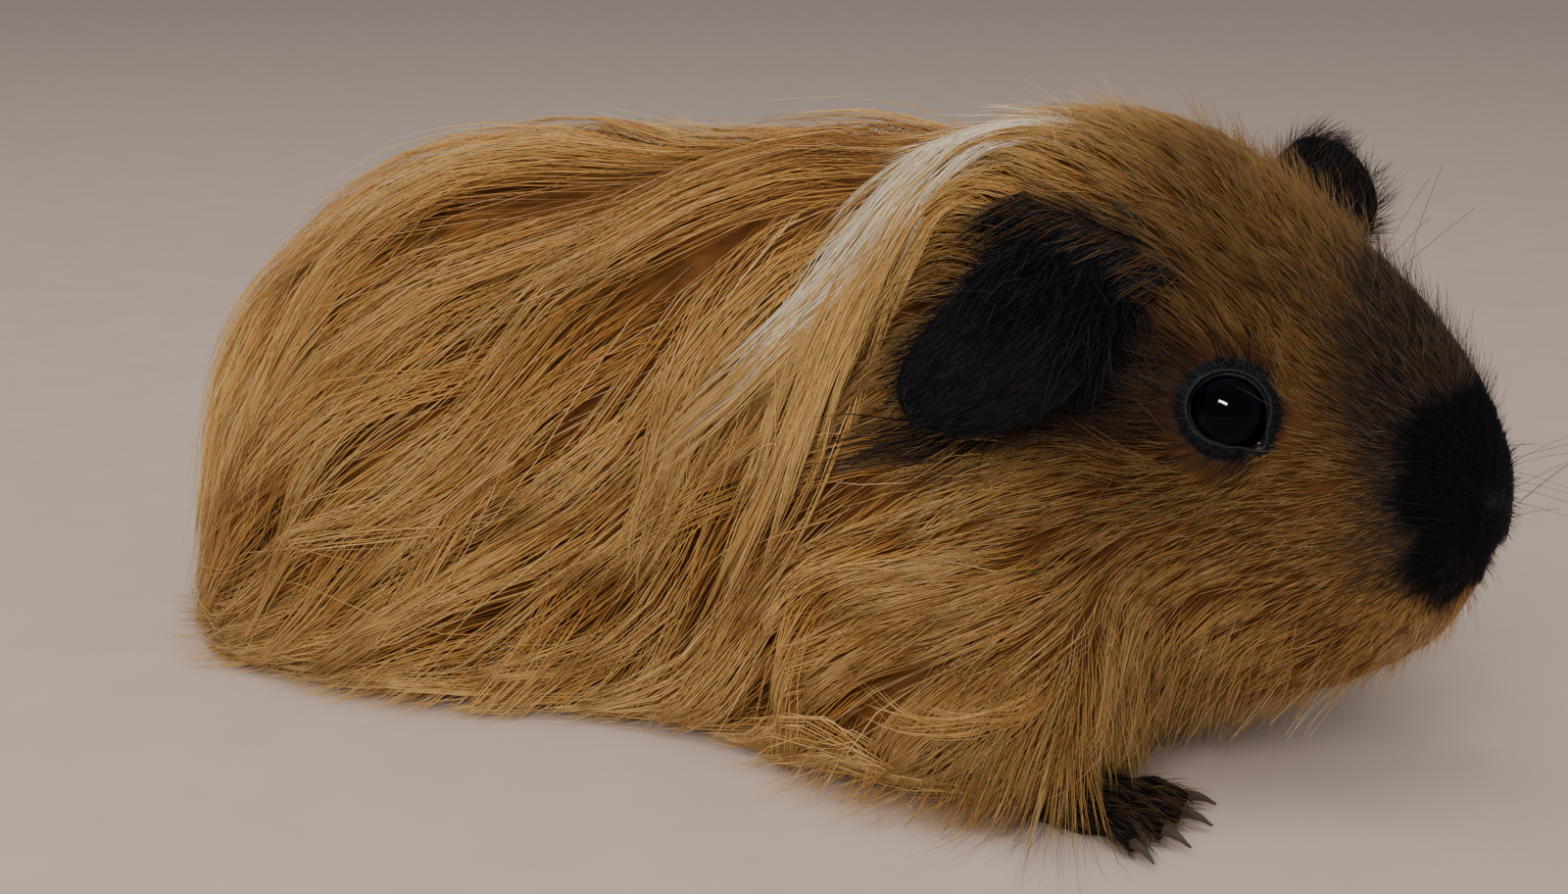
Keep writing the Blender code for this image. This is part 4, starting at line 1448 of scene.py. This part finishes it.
def ear_cover(node, count=1100):
    """Longer hair of the crown, rooted over the ear's root, that falls over it and hides where it starts."""
    petal = PETALS[node]
    along = rng.uniform(-1.25, 1.15, count)
    above = rng.uniform(-0.5, 4.5, count)
    upward = above[:, None] * unit(petal.fall) * [1, 1, 1.2]
    spots = petal.root + along[:, None] * 11.0 * petal.across - upward
    spots = room.settle(from_head(spots * [1, petal.side, 1]), -1.2, 4)
    outward = room.read(spots)[1]
    fall = from_head(unit(petal.fall + 0.25 * petal.outward * 10) * [1, petal.side, 1]) - HEAD_ROOT
    ways = unit(unit(fall) + 0.35 * head_lie(spots, outward) + rng.normal(0, 0.16, spots.shape))
    paths = free_tufts(spots, ways, outward, rng.uniform(5.0, 12.0, count), 0.26, 0.010, 5)
    black = np.clip(1.1 - 0.17 * above * rng.uniform(0.5, 1.5, count), 0, 1) * (rng.random(count) < 0.85)
    tones = plain_tones(count, 0.4)
    width = rng.uniform(0.08, 0.13, count)
    coat_piece(f"{node}_cover", "ear_black", EAR_COAT, spots, paths, width, tones, marks_of(black, 0.8))


WRIST = np.array([[187.0], [50.0], [13.0]])   # ahead of the rump, aside and up
SKIRT_WIDEST = 67.0                           # how far aside its tips run before they bunch up


def skirt():
    """Wispy tips along the body's foot, that reach out and back over the floor."""

    def at_wrist(spots):
        off_wrist = [from_rump(spots), np.abs(spots[:, 1]), spots[:, 2]] - WRIST
        return smooth(np.linalg.norm(off_wrist, axis=0), 9.0, 4.0)

    def density(spots):
        edge = window(spots[:, 2], 1.0, 3.0, 9.0, 15.0) * smooth(np.abs(spots[:, 1]), 24, 34)
        return 0.38 * edge * smooth(from_rump(spots), 190, 180) + 2.4 * at_wrist(spots)

    roots = sown(density)
    outward = coat_room.read(roots)[1]
    ways = lie(roots, outward) + at_wrist(roots)[:, None] * [0.75, 0, -0.35]
    lean = unit(outward * [1, 1, 0])
    clump = drift(roots, 4.0, 9.1)[:, None]
    ways = unit(ways + 0.75 * lean + [0, 0, -0.5] + 0.35 * clump * np.cross(lean, UP)
                + rng.normal(0, 0.10, roots.shape))
    length = roots[:, 2] + rng.uniform(6.5, 15.0, len(roots)) * (1 + 0.5 * clump[:, 0])
    share = np.linspace(0, 1, 5)[None, :, None]
    paths = roots[:, None] + ways[:, None] * share * length[:, None, None]
    past = np.abs(paths[..., 1]) - SKIRT_WIDEST
    paths[..., 1] = np.sign(paths[..., 1]) * (SKIRT_WIDEST + np.minimum(past, 0) + 0.15 * np.maximum(past, 0))
    low = rng.uniform(0.3, 1.3, len(roots))[:, None]
    height = paths[..., 2]
    paths[..., 2] = np.where(height < low + 2, low + 2 * np.exp((height - low - 2) / 2), height)
    tones = np.column_stack([np.clip(0.5 + 0.4 * clump[:, 0], 0, 1), rng.random(len(roots))])
    width = rng.uniform(0.10, 0.17, len(roots)) * (1 - 0.35 * at_wrist(roots))
    coat_piece("coat_skirt", "coat_ginger", COAT, roots, paths, width, tones)


def standing_hairs():
    """Fine hairs that stand out along the top of the head, the bridge of the nose and the chin."""

    def density(spots):
        ahead, aside, height = to_head(spots).T
        top = smooth(np.abs(aside), 20, 10) * smooth(height, 52, 60) * smooth(ahead, 8, 22)
        bridge = smooth(np.abs(aside), 14, 8) * smooth(height, 50, 58)
        bridge = bridge * smooth(ahead, 30, 40) * smooth(ahead, 80, 72)
        chin = smooth(height, 34, 27) * smooth(ahead, 34, 46)
        return bare(spots) * (0.46 * top + 0.50 * bridge + 0.40 * chin + 0.03 * smooth(ahead, 10, 24))

    roots = sown(density)
    count = len(roots)
    outward = coat_room.read(roots)[1]
    ways = turned(lie(roots, outward), outward, rng.normal(0, 0.35, count))
    length = np.interp(to_head(roots)[:, 0], (20, 60, 80), (8.5, 6.6, 3.8)) * rng.uniform(0.6, 1.25, count)
    paths = free_tufts(roots, ways, outward, length, rng.uniform(0.35, 1.35, count), 0.01, 4)
    tones = plain_tones(count, 0.4)
    coat_piece("coat_standing_hairs", "coat_face", COAT, roots, paths, rng.uniform(0.065, 0.11, count), tones)


def bib():
    """Hair of the throat and jowls that hangs below the outline, between the chin and the forefeet."""

    def density(spots):
        ahead, _, height = to_head(spots).T
        return bare(spots) * 0.9 * smooth(height, 33, 26) * smooth(ahead, 26, 34) * smooth(ahead, 62, 54)

    roots = sown(density)
    count = len(roots)
    outward = coat_room.read(roots)[1]
    ways = unit(lie(roots, outward) + [0, 0, -0.9] + rng.normal(0, 0.12, roots.shape))
    past = rng.uniform(4.5, 11.0, count) * (1 - 0.5 * smooth(to_head(roots)[:, 0], 46, 60))
    paths = free_tufts(roots, ways, outward, coat_depth(roots) + past, rng.uniform(0.1, 0.5, count), 0.015, 4)
    tones = np.column_stack([rng.uniform(0.35, 0.65, count), rng.random(count)])
    coat_piece("coat_bib", "coat_ginger", COAT, roots, paths, rng.uniform(0.09, 0.14, count), tones)


def temple_hair(count=1500):
    """Longer dark hair between each eye and ear, that lies back in some disorder."""
    spots = rng.normal((40.0, 27.0, 60.0), (4.0, 3.0, 5.5), (count, 3))
    spots[::2, 1] *= -1
    roots = room.settle(from_head(spots), -1.1, 4)
    roots = roots[off_eye(roots) > 7.6]
    count = len(roots)
    outward = room.read(roots)[1]
    ways = turned(lie(roots, outward), outward, rng.normal(0, 0.45, count))
    length, lift = rng.uniform(4.5, 11.0, count), rng.uniform(0.12, 0.42, count)
    paths = free_tufts(roots, ways, outward, length, lift, 0.012, 5)
    tones = plain_tones(count, 0.4)
    marks = markings(roots)
    marks[:, 0] *= rng.uniform(0.5, 1.2, count)
    coat_piece("coat_temples", "coat_face", COAT, roots, paths, rng.uniform(0.07, 0.11, count), tones, marks)


for node in EARS:
    ear_coat(node)
    ear_cover(node)
foot_coat()
skirt()
standing_hairs()
bib()
temple_hair()


# ---------------------------------------------------------------- claws

CLAW_RINGS = 15
CLAW_SIDES = 18
CLAW_RADIUS = 0.80
CLAW_TAPER = 0.80
CLAW_SET_IN = 1.9
CLAW_ARCH = 0.40
CLAW_DROP = 0.8
CLAW_GROOVE = 0.28


def claw(node):
    """A curved tapering claw with a groove below, set into the end of its toe."""
    spots = points_of(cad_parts[node].data)
    tip = spots[spots[:, 0].argmax()]
    start = spots[spots[:, 0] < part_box(node)[0][0] / MM + 0.9].mean(axis=0)
    onward = unit((tip - start) * [1, 1, 0])
    aside = np.cross(UP, onward)
    reach = 0.72 * np.linalg.norm((tip - start)[:2]) + CLAW_SET_IN
    turn = np.linspace(0, 2 * np.pi, CLAW_SIDES, endpoint=False)
    groove = 1 - CLAW_GROOVE * np.exp(-((turn - 1.5 * np.pi) / 0.45) ** 2)
    section = 0.82 * np.cos(turn)[:, None] * aside + 1.05 * np.sin(turn)[:, None] * UP
    rings = []
    for share in np.linspace(0, 1, CLAW_RINGS):
        spot = start - onward * CLAW_SET_IN + onward * reach * share
        arch = CLAW_ARCH * math.sin(math.pi * min(share * 1.1, 1))
        spot[2] = max(start[2] + arch - CLAW_DROP * share ** 2.2, 0.35)
        radius = CLAW_RADIUS * (1 - CLAW_TAPER * share ** 1.8)
        growth_ring = 1 + 0.02 * math.sin(share * 40)
        ring = spot + radius * growth_ring * groove[:, None] * section
        ring[:, 2] = np.maximum(ring[:, 2], 0.05)
        rings.append(ring)
    mesh = new_mesh("claw", *facing_out(closed_rings(rings)))
    return finished(new_object(node.replace("claw", "horn"), mesh), "claw_dark", HORN, node)


def horn_finish():
    """Dark horn, streaked along the claw."""
    finish = Finish("dark_horn", Specular_IOR_Level=0.5)
    streaks = finish.noise(700.0, 3.0, finish.stretched((0.25, 1.0, 1.0)))
    colour = finish.mix(streaks, (0.018, 0.013, 0.010), (0.075, 0.055, 0.040))
    return finish.to_shader(Base_Color=colour, Roughness=0.30 + 0.2 * streaks,
                            Normal=finish.bump(streaks, 0.0002, 0.5))


HORN = horn_finish()
for node in CLAWS:
    claw(node)


# ---------------------------------------------------------------- eyes and lids

# How far the lids open, in degrees from the eye's axis, by the direction round it (0 ahead, 90 up).
LID_OPENING = ((0, 53), (40, 47), (90, 45), (140, 49), (180, 54), (225, 49), (270, 45), (298, 53), (322, 74),
               (346, 59), (360, 53))
LID_REACH = ((5.25, -0.02), (6.1, -0.45), (7.4, -1.35))   # from the axis, and height over the outline
EYE_CORNER = 322      # direction of the front corner
BEAD_OF_WET = 323     # and of the bead of wet that lies in it
EYE_TURNS = 144
BALL_SIDES = 72
CORNEA = 0.32         # how far the clear dome stands out


def dome(node, angles, turns, radius):
    """Points round an eye from angles off its axis and turns about it, in radians."""
    centre, out, ahead, up = EYE_AXES[node]
    ring = np.cos(turns)[..., None] * ahead + np.sin(turns)[..., None] * up
    return centre + radius[..., None] * (np.cos(angles)[..., None] * out + np.sin(angles)[..., None] * ring)


def eyeball(node):
    """The ball with its clear dome; each point knows how far round from the front it is."""
    turns = np.linspace(0, 2 * np.pi, BALL_SIDES, endpoint=False)
    rings = []
    shares = []
    for angle in np.radians(np.linspace(1.5, 178.5, 46)):
        cornea = CORNEA * math.exp(-((angle / math.radians(44)) ** 2))
        rings.append(dome(node, np.full(BALL_SIDES, angle), turns, np.full(BALL_SIDES, EYE_RADIUS + cornea)))
        shares.append(np.full(BALL_SIDES, angle / math.pi))
    mesh = new_mesh("eyeball", *facing_out(closed_rings(rings)))
    round_out = np.append(np.concatenate(shares), (0.0, 1.0))
    add_attribute(mesh, "round", np.repeat(round_out[:, None], 3, axis=1))
    return finished(new_object(node.replace("eye", "eyeball"), mesh), "eye_black", EYE, node)


def lid_bands(node):
    """Rings across the lid, from its wet edge to under the coat, as smooth curves through a few."""
    turns = np.linspace(0, 2 * np.pi, EYE_TURNS, endpoint=False)
    opening = np.interp(np.degrees(turns), *zip(*LID_OPENING), period=360)
    opening = (np.roll(opening, 2) + np.roll(opening, -2) + opening * 2) / 4
    centre, out, ahead, up = EYE_AXES[node]
    ring = np.cos(turns)[:, None] * ahead + np.sin(turns)[:, None] * up
    brow = 0.12 * smooth(np.sin(turns), 0.1, 1.0)
    corner = np.exp(-((np.degrees(turns) - EYE_CORNER) / 15) ** 2)
    knots = [dome(node, np.radians(opening - 1.5), turns, np.full(EYE_TURNS, EYE_RADIUS - 0.35)),
             dome(node, np.radians(opening), turns, np.full(EYE_TURNS, EYE_RADIUS + 0.07)),
             dome(node, np.radians(opening + 3.0), turns, EYE_RADIUS + 0.14 + brow)]
    for reach, height in LID_REACH:
        rim = (reach + 1.5 * corner) * (1 - 0.09 * np.sin(turns) ** 2)
        spots = centre + ring * rim[:, None] + out * 4.0
        knots.append(room.settle(spots, height + brow, 4))
    knots = np.array(knots)
    padded = np.concatenate([2 * knots[:1] - knots[1:2], knots, 2 * knots[-1:] - knots[-2:-1]])
    bands = []
    for a, b, c, d in zip(padded, padded[1:], padded[2:], padded[3:]):
        for t in (0, 0.34, 0.67):
            bands.append(0.5 * (2 * b + (c - a) * t + (2 * a - 5 * b + 4 * c - d) * t ** 2
                                + (3 * b - a - 3 * c + d) * t ** 3))
    return np.array(bands + [knots[-1]]), turns


def eyelid(node):
    """The bare dark rim: a soft ring rolled over the eye, with fine folds and a wet front corner."""
    bands, turns = lid_bands(node)
    across = np.linspace(0, 1, len(bands))[:, None]
    corner = np.exp(-((np.degrees(turns) - EYE_CORNER) / 12) ** 2)
    fold = 0.03 * np.sin(13 * turns + 9 * across) + 0.02 * np.sin(31 * turns - 7 * across)
    fold = fold * smooth(across, 0.2, 0.5) + 0.3 * corner * np.exp(-((across - 0.2) / 0.14) ** 2)
    centre, out, _, _ = EYE_AXES[node]
    bead = np.exp(-((np.degrees(turns) - BEAD_OF_WET) / 4.5) ** 2) * np.exp(-((across - 0.27) / 0.07) ** 2)
    bands = bands + out * (fold + 0.35 * bead)[..., None]
    beaded = (0.5 + 0.5 * np.sin(23 * turns + 1.3 * np.sin(5 * turns))) ** 2
    wet = 0.42 * beaded * smooth(across, 0.24, 0.10) + 0.25 * corner * smooth(across, 0.45, 0.25) + 0.8 * bead
    inner = centre + (bands[[-1, 3, 0]] - centre) * np.array([0.93, 0.86, 0.97])[:, None, None]
    points = np.concatenate([bands, inner]).reshape(-1, 3)
    wet = np.concatenate([wet, np.zeros((3, EYE_TURNS))]).ravel()
    rows = len(bands) + len(inner)
    mesh = new_mesh("lid", *facing_out((points, np.vstack(stitched(rows, EYE_TURNS, rows)))))
    add_attribute(mesh, "wet", np.repeat(np.clip(wet, 0, 1)[:, None], 3, axis=1))
    return finished(new_object(node.replace("eye", "eyelid"), mesh), "ear_black", LID), bands


def lid_fuzz(node, bands, count=850):
    """Very short dark hair on the lid's outer half: it points away from the eye and hides the lid's end."""
    centre, out, _, _ = EYE_AXES[node]
    row = rng.uniform(0.56, 0.98, count) ** 0.8 * (len(bands) - 1)
    turn = rng.integers(0, EYE_TURNS, count)
    low = np.minimum(row.astype(int), len(bands) - 2)
    part = (row - low)[:, None]
    spots = bands[low, turn] * (1 - part) + bands[low + 1, turn] * part
    away = spots - centre
    away = unit(away - (away @ out)[:, None] * out)
    ways = unit(away + 0.55 * out - 0.5 * AHEAD + rng.normal(0, 0.18, spots.shape))
    paths = free_tufts(spots, ways, np.tile(out, (count, 1)), rng.uniform(0.7, 1.6, count), -0.25, 0.0, 3)
    marks = marks_of(rng.uniform(0.45, 1.0, count), 1.0)
    tones = plain_tones(count)
    width = rng.uniform(0.07, 0.12, count)
    coat_piece(node.replace("eye", "lid_fuzz"), "ear_black", EAR_COAT, spots, paths, width, tones, marks)


def eye_finish():
    """Nearly black, tinted blue-grey as a painted faint bluish reflection, with a faint iris round the pupil,
    under a clear wet surface.
    """
    finish = Finish("wet_black_eye", Roughness=0.03, Specular_IOR_Level=0.08)
    round_out = finish.parts("round")[0]
    fibres = finish.noise(1500.0, 3.0, finish.stretched((1.0, 0.3, 1.0)))
    # The blue of these colours is a painted reflection, not the eye's own colour.
    iris = finish.mix(fibres, (0.0006, 0.0009, 0.0020), (0.0013, 0.0019, 0.0042))
    colour = finish.mix(finish.step(round_out, 0.15, 0.18), (0.0003, 0.0004, 0.0008), iris)
    colour = finish.mix(finish.step(round_out, 0.27, 0.34), colour, (0.0005, 0.0007, 0.0013))
    return finish.to_shader(Base_Color=colour)


def lid_finish():
    """Bare dark skin, glossy only where the attribute says that it is wet."""
    finish = Finish("bare_lid", Specular_IOR_Level=0.05, Coat_Roughness=0.08)
    wet = finish.parts("wet")[0]
    grain = finish.noise(1400.0, 3.0)
    colour = finish.mix(grain, (0.0036, 0.0042, 0.0054), (0.0115, 0.0130, 0.0165))
    colour = finish.mix(wet, colour, (0.006, 0.006, 0.008))
    normal = finish.bump(grain, 0.0003, 0.6)
    return finish.to_shader(Base_Color=colour, Roughness=0.62 - 0.4 * wet, Coat_Weight=wet, Normal=normal)


EYE = eye_finish()
LID = lid_finish()
CATCHING = []
for node in EYES:
    lid, bands = eyelid(node)
    lid_fuzz(node, bands)
    CATCHING += [eyeball(node), lid]


# ---------------------------------------------------------------- whiskers and lashes

BRISTLE_RINGS = 9
BRISTLE_SIDES = 5
BRISTLE_TAPER = 0.8
SHORTEST_BRISTLE, LONGEST_BRISTLE = 0.8, 1.15   # of its own reach
PAST_NOSE = 14.0                                # how far ahead of the nose a whisker may end


def bristle_tree(name, finish, sizes):
    """Nodes that set one bent, tapering bristle on each point of a mesh, by its way and reach."""
    tree = bpy.data.node_groups.new(name, "GeometryNodeTree")
    tree.interface.new_socket("Roots", in_out="INPUT", socket_type="NodeSocketGeometry")
    for label in sizes:
        kind = "NodeSocketInt" if label == "Seed" else "NodeSocketFloat"
        tree.interface.new_socket(label, in_out="INPUT", socket_type=kind)
    tree.interface.new_socket("Bristles", in_out="OUTPUT", socket_type="NodeSocketGeometry")
    maker = NodeMaker(tree)
    add = maker.add
    given = {socket.name: Wire(maker, socket) for socket in tree.nodes.new("NodeGroupInput").outputs}

    def named(attribute, kind="FLOAT"):
        return add("GeometryNodeInputNamedAttribute", {"data_type": kind}, {"Name": attribute})

    line = add("GeometryNodeCurvePrimitiveLine", None, {"End": (0, 0, 1)})
    line = add("GeometryNodeResampleCurve", None, {"Curve": line, "Count": BRISTLE_RINGS})
    along = add("GeometryNodeSplineParameter")
    line = add("GeometryNodeStoreNamedAttribute", {"data_type": "FLOAT", "domain": "POINT"},
               {"Geometry": line, "Name": "along", "Value": along})
    line = add("GeometryNodeSetCurveRadius", None, {"Curve": line, "Radius": 1.0 - along * BRISTLE_TAPER})
    ring = add("GeometryNodeCurvePrimitiveCircle", None,
               {"Resolution": BRISTLE_SIDES, "Radius": given["Thickness"]})
    bristle = add("GeometryNodeCurveToMesh", None, {"Curve": line, "Profile Curve": ring, "Fill Caps": True})
    turn = add("FunctionNodeAlignRotationToVector", {"axis": "Z"}, {"Vector": named("way", "FLOAT_VECTOR")})
    least, most = SHORTEST_BRISTLE, LONGEST_BRISTLE
    vary = add("FunctionNodeRandomValue", {"data_type": "FLOAT"},
               {2: least, 3: most, "Seed": given["Seed"]}, 1)
    size = add("ShaderNodeCombineXYZ", None, {0: 1.0, 1: 1.0, 2: named("reach") * vary})
    set_out = add("GeometryNodeInstanceOnPoints", None,
                  {"Points": given["Roots"], "Instance": bristle, "Rotation": turn, "Scale": size})
    solid = add("GeometryNodeRealizeInstances", None, {"Geometry": set_out})
    fall = add("ShaderNodeCombineXYZ", None, {2: named("along") ** 2.0 * given["Sag"] * -1.0})
    solid = add("GeometryNodeSetPosition", None, {"Geometry": solid, "Offset": fall})
    add("NodeGroupOutput", None, {"Bristles": add("GeometryNodeSetMaterial", None,
                                                  {"Geometry": solid, "Material": finish})}, None)
    return tree


def bristles(name, slot, finish, roots, ways, reach, **sizes):
    """One piece of bristles from their roots and ways, in millimetres of the frame."""
    mesh = bpy.data.meshes.new(name)
    mesh.from_pydata((roots * MM).tolist(), [], [])
    way = mesh.attributes.new("way", "FLOAT_VECTOR", "POINT")
    way.data.foreach_set("vector", ways.astype(np.float32).ravel())
    mesh.attributes.new("reach", "FLOAT", "POINT").data.foreach_set("value", (reach * MM).astype(np.float32))
    obj = new_object(name + "_roots", mesh)
    modifier = obj.modifiers.new("bristles", "NODES")
    modifier.node_group = bristle_tree(name, finish, sizes)
    for socket in modifier.node_group.interface.items_tree:
        if socket.name in sizes:
            modifier[socket.identifier] = sizes[socket.name]
    made = applied(obj)
    made.name = name
    made.shade_smooth()
    return finished(new_object(name, made), slot, finish)


def bristle_finish(name, root, tip):
    """A whisker's colour from its root to its tip."""
    finish = Finish(name, Specular_IOR_Level=0.12)
    along = finish.add("ShaderNodeAttribute", {"attribute_name": "along"}, None, "Fac")
    mottle = finish.noise(300.0, 2.0)
    colour = finish.mix(along, root, tip)
    colour = finish.mix(mottle * 0.4, colour, tip)
    return finish.to_shader(Base_Color=colour, Roughness=0.4 + 0.15 * mottle)


DARK_BRISTLE = bristle_finish("dark_whisker", (0.012, 0.010, 0.010), (0.05, 0.038, 0.03))
PALE_BRISTLE = bristle_finish("pale_whisker", (0.40, 0.23, 0.10), (0.62, 0.48, 0.32))
# Name, slot, finish, count on each side, two corners for their roots and two for their ways in the head's
# axes, reach, thickness at the root, how far their tips sag, and how much more those on the right sweep
# back.
BRISTLES = (
    ("whiskers_muzzle", "ear_black", DARK_BRISTLE, 11, ((72.5, 9.5, 37.0), (78.0, 13.5, 46.0)),
     ((0.0, 0.7, -0.3), (0.85, 1.0, 0.5)), (13, 26), 0.029, 1.5, 0.9),
    ("whiskers_brow", "ear_black", DARK_BRISTLE, 4, ((52.0, 14.0, 68.0), (60.0, 18.0, 72.0)),
     ((-0.1, 0.4, 0.5), (0.5, 0.9, 1.0)), (12, 22), 0.034, 1.5, 0.0),
    ("whiskers_chin", "coat_pale", PALE_BRISTLE, 20, ((36.0, 3.0, 17.0), (66.0, 16.0, 25.0)),
     ((-0.80, 0.05, -1.0), (-0.45, 0.30, -0.75)), (7, 12.5), 0.027, 0.8, 0.0),
)


def whiskers(name, slot, finish, count, root_box, way_box, reach, thick, sag, sweep):
    spots = rng.uniform(*root_box, (2 * count, 3))
    ways = rng.uniform(*way_box, (2 * count, 3))
    spots[count:, 1] *= -1
    ways[count:, 1] *= -1
    ways[count:, 0] -= sweep
    spots = room.settle(from_head(spots), -0.4, 4)
    ways = unit(from_head(ways) - HEAD_ROOT)
    room_below = (spots[:, 2] - sag - 0.5) / np.maximum(-ways[:, 2], 0.01)
    room_ahead = (CAD_BOX[1][0] / MM + PAST_NOSE - spots[:, 0]) / np.maximum(ways[:, 0], 0.01)
    length = np.minimum(rng.uniform(*reach, 2 * count), np.minimum(room_below, room_ahead) / LONGEST_BRISTLE)
    bristles(name, slot, finish, spots, ways, length, Seed=5, Thickness=thick * MM, Sag=sag * MM)


for row in BRISTLES:
    whiskers(*row)


# ---------------------------------------------------------------- the stage

# The camera stands ahead and to the right of the animal, a little above it, and looks back along the body.
CAMERA_AT = (0.1619, -0.2897, 0.1220)
CAMERA_ROUND = math.radians(29.5)
CAMERA_ABOVE = math.radians(15.0)
CAMERA_LENS = 48.6
FLOOR_HALF = 6.0
# Name, what it lights, degrees round and above, distance, size, power, colour, then for the eyes' catchlight
# alone, the pieces that it lights and its roll.
LIGHTS = (
    ("soft_top", (0, 0, 0.05), -10, 72, 1.3, (1.3, 1.0), 8.6, (1.0, 0.97, 0.92)),
    ("window", (0, 0, 0.04), 18, 28, 1.1, (0.7, 0.45), 8.7, (1.0, 0.98, 0.95)),
    ("catch", (0.08, -0.03, 0.055), -3, 36, 0.6, (0.25, 0.06), 20.0, (0.95, 0.97, 1.0), CATCHING, -14),
)


def aimed(round_it, above):
    """Axes of something that looks inwards from this way round and this high: right, up and back."""
    right = Vector((math.cos(round_it), math.sin(round_it), 0))
    aside, ahead = math.sin(round_it) * math.cos(above), -math.cos(round_it) * math.cos(above)
    back = Vector((aside, ahead, math.sin(above)))
    return Matrix((right, back.cross(right), back)).transposed().to_4x4()


def add_camera():
    data = bpy.data.cameras.new("camera")
    data.lens = CAMERA_LENS
    data.clip_start = 0.005
    camera = new_object("camera", data)
    camera.matrix_world = Matrix.Translation(CAMERA_AT) @ aimed(CAMERA_ROUND, CAMERA_ABOVE)
    bpy.context.scene.camera = camera


def add_light(name, target, round_it, above, distance, size, power, colour, lit=None, roll=0.0):
    """A soft light. One for the eyes alone is the catchlight in them; the others leave no image there."""
    data = bpy.data.lights.new(name, "AREA")
    data.shape = "RECTANGLE"
    data.size, data.size_y = size
    data.energy = power
    data.color = colour
    light = new_object(name, data)
    turn = aimed(math.radians(round_it), math.radians(above))
    turn = Matrix.Translation(Vector(target) + turn.col[2].to_3d() * distance) @ turn
    light.matrix_world = turn @ Matrix.Rotation(math.radians(roll), 4, "Z")
    if lit:
        light.light_linking.receiver_collection = bpy.data.collections.new(name)
        for obj in lit:
            light.light_linking.receiver_collection.objects.link(obj)
    light.visible_glossy = bool(lit)
    light.visible_diffuse = not lit


def add_floor():
    mesh = bpy.data.meshes.new("floor")
    corners = [(x * FLOOR_HALF, y * FLOOR_HALF, 0) for x, y in ((-1, -1), (1, -1), (1, 1), (-1, 1))]
    mesh.from_pydata(corners, [], [(0, 1, 2, 3)])
    floor = new_object("floor", mesh)
    finish = Finish("pale_floor", Specular_IOR_Level=0.2)
    fleck = finish.noise(60.0, 5.0)
    colour = finish.mix(fleck, (0.52, 0.40, 0.335), (0.60, 0.48, 0.41))
    mesh.materials.append(finish.to_shader(Base_Color=colour, Roughness=0.85))


def add_world():
    world = bpy.data.worlds.new("studio")
    bpy.context.scene.world = world
    world.use_nodes = True
    shade = world.node_tree.nodes["Background"]
    shade.inputs["Color"].default_value = (0.95, 0.97, 1.0, 1)
    shade.inputs["Strength"].default_value = 0.40


add_camera()
add_floor()
add_world()
for row in LIGHTS:
    add_light(*row)
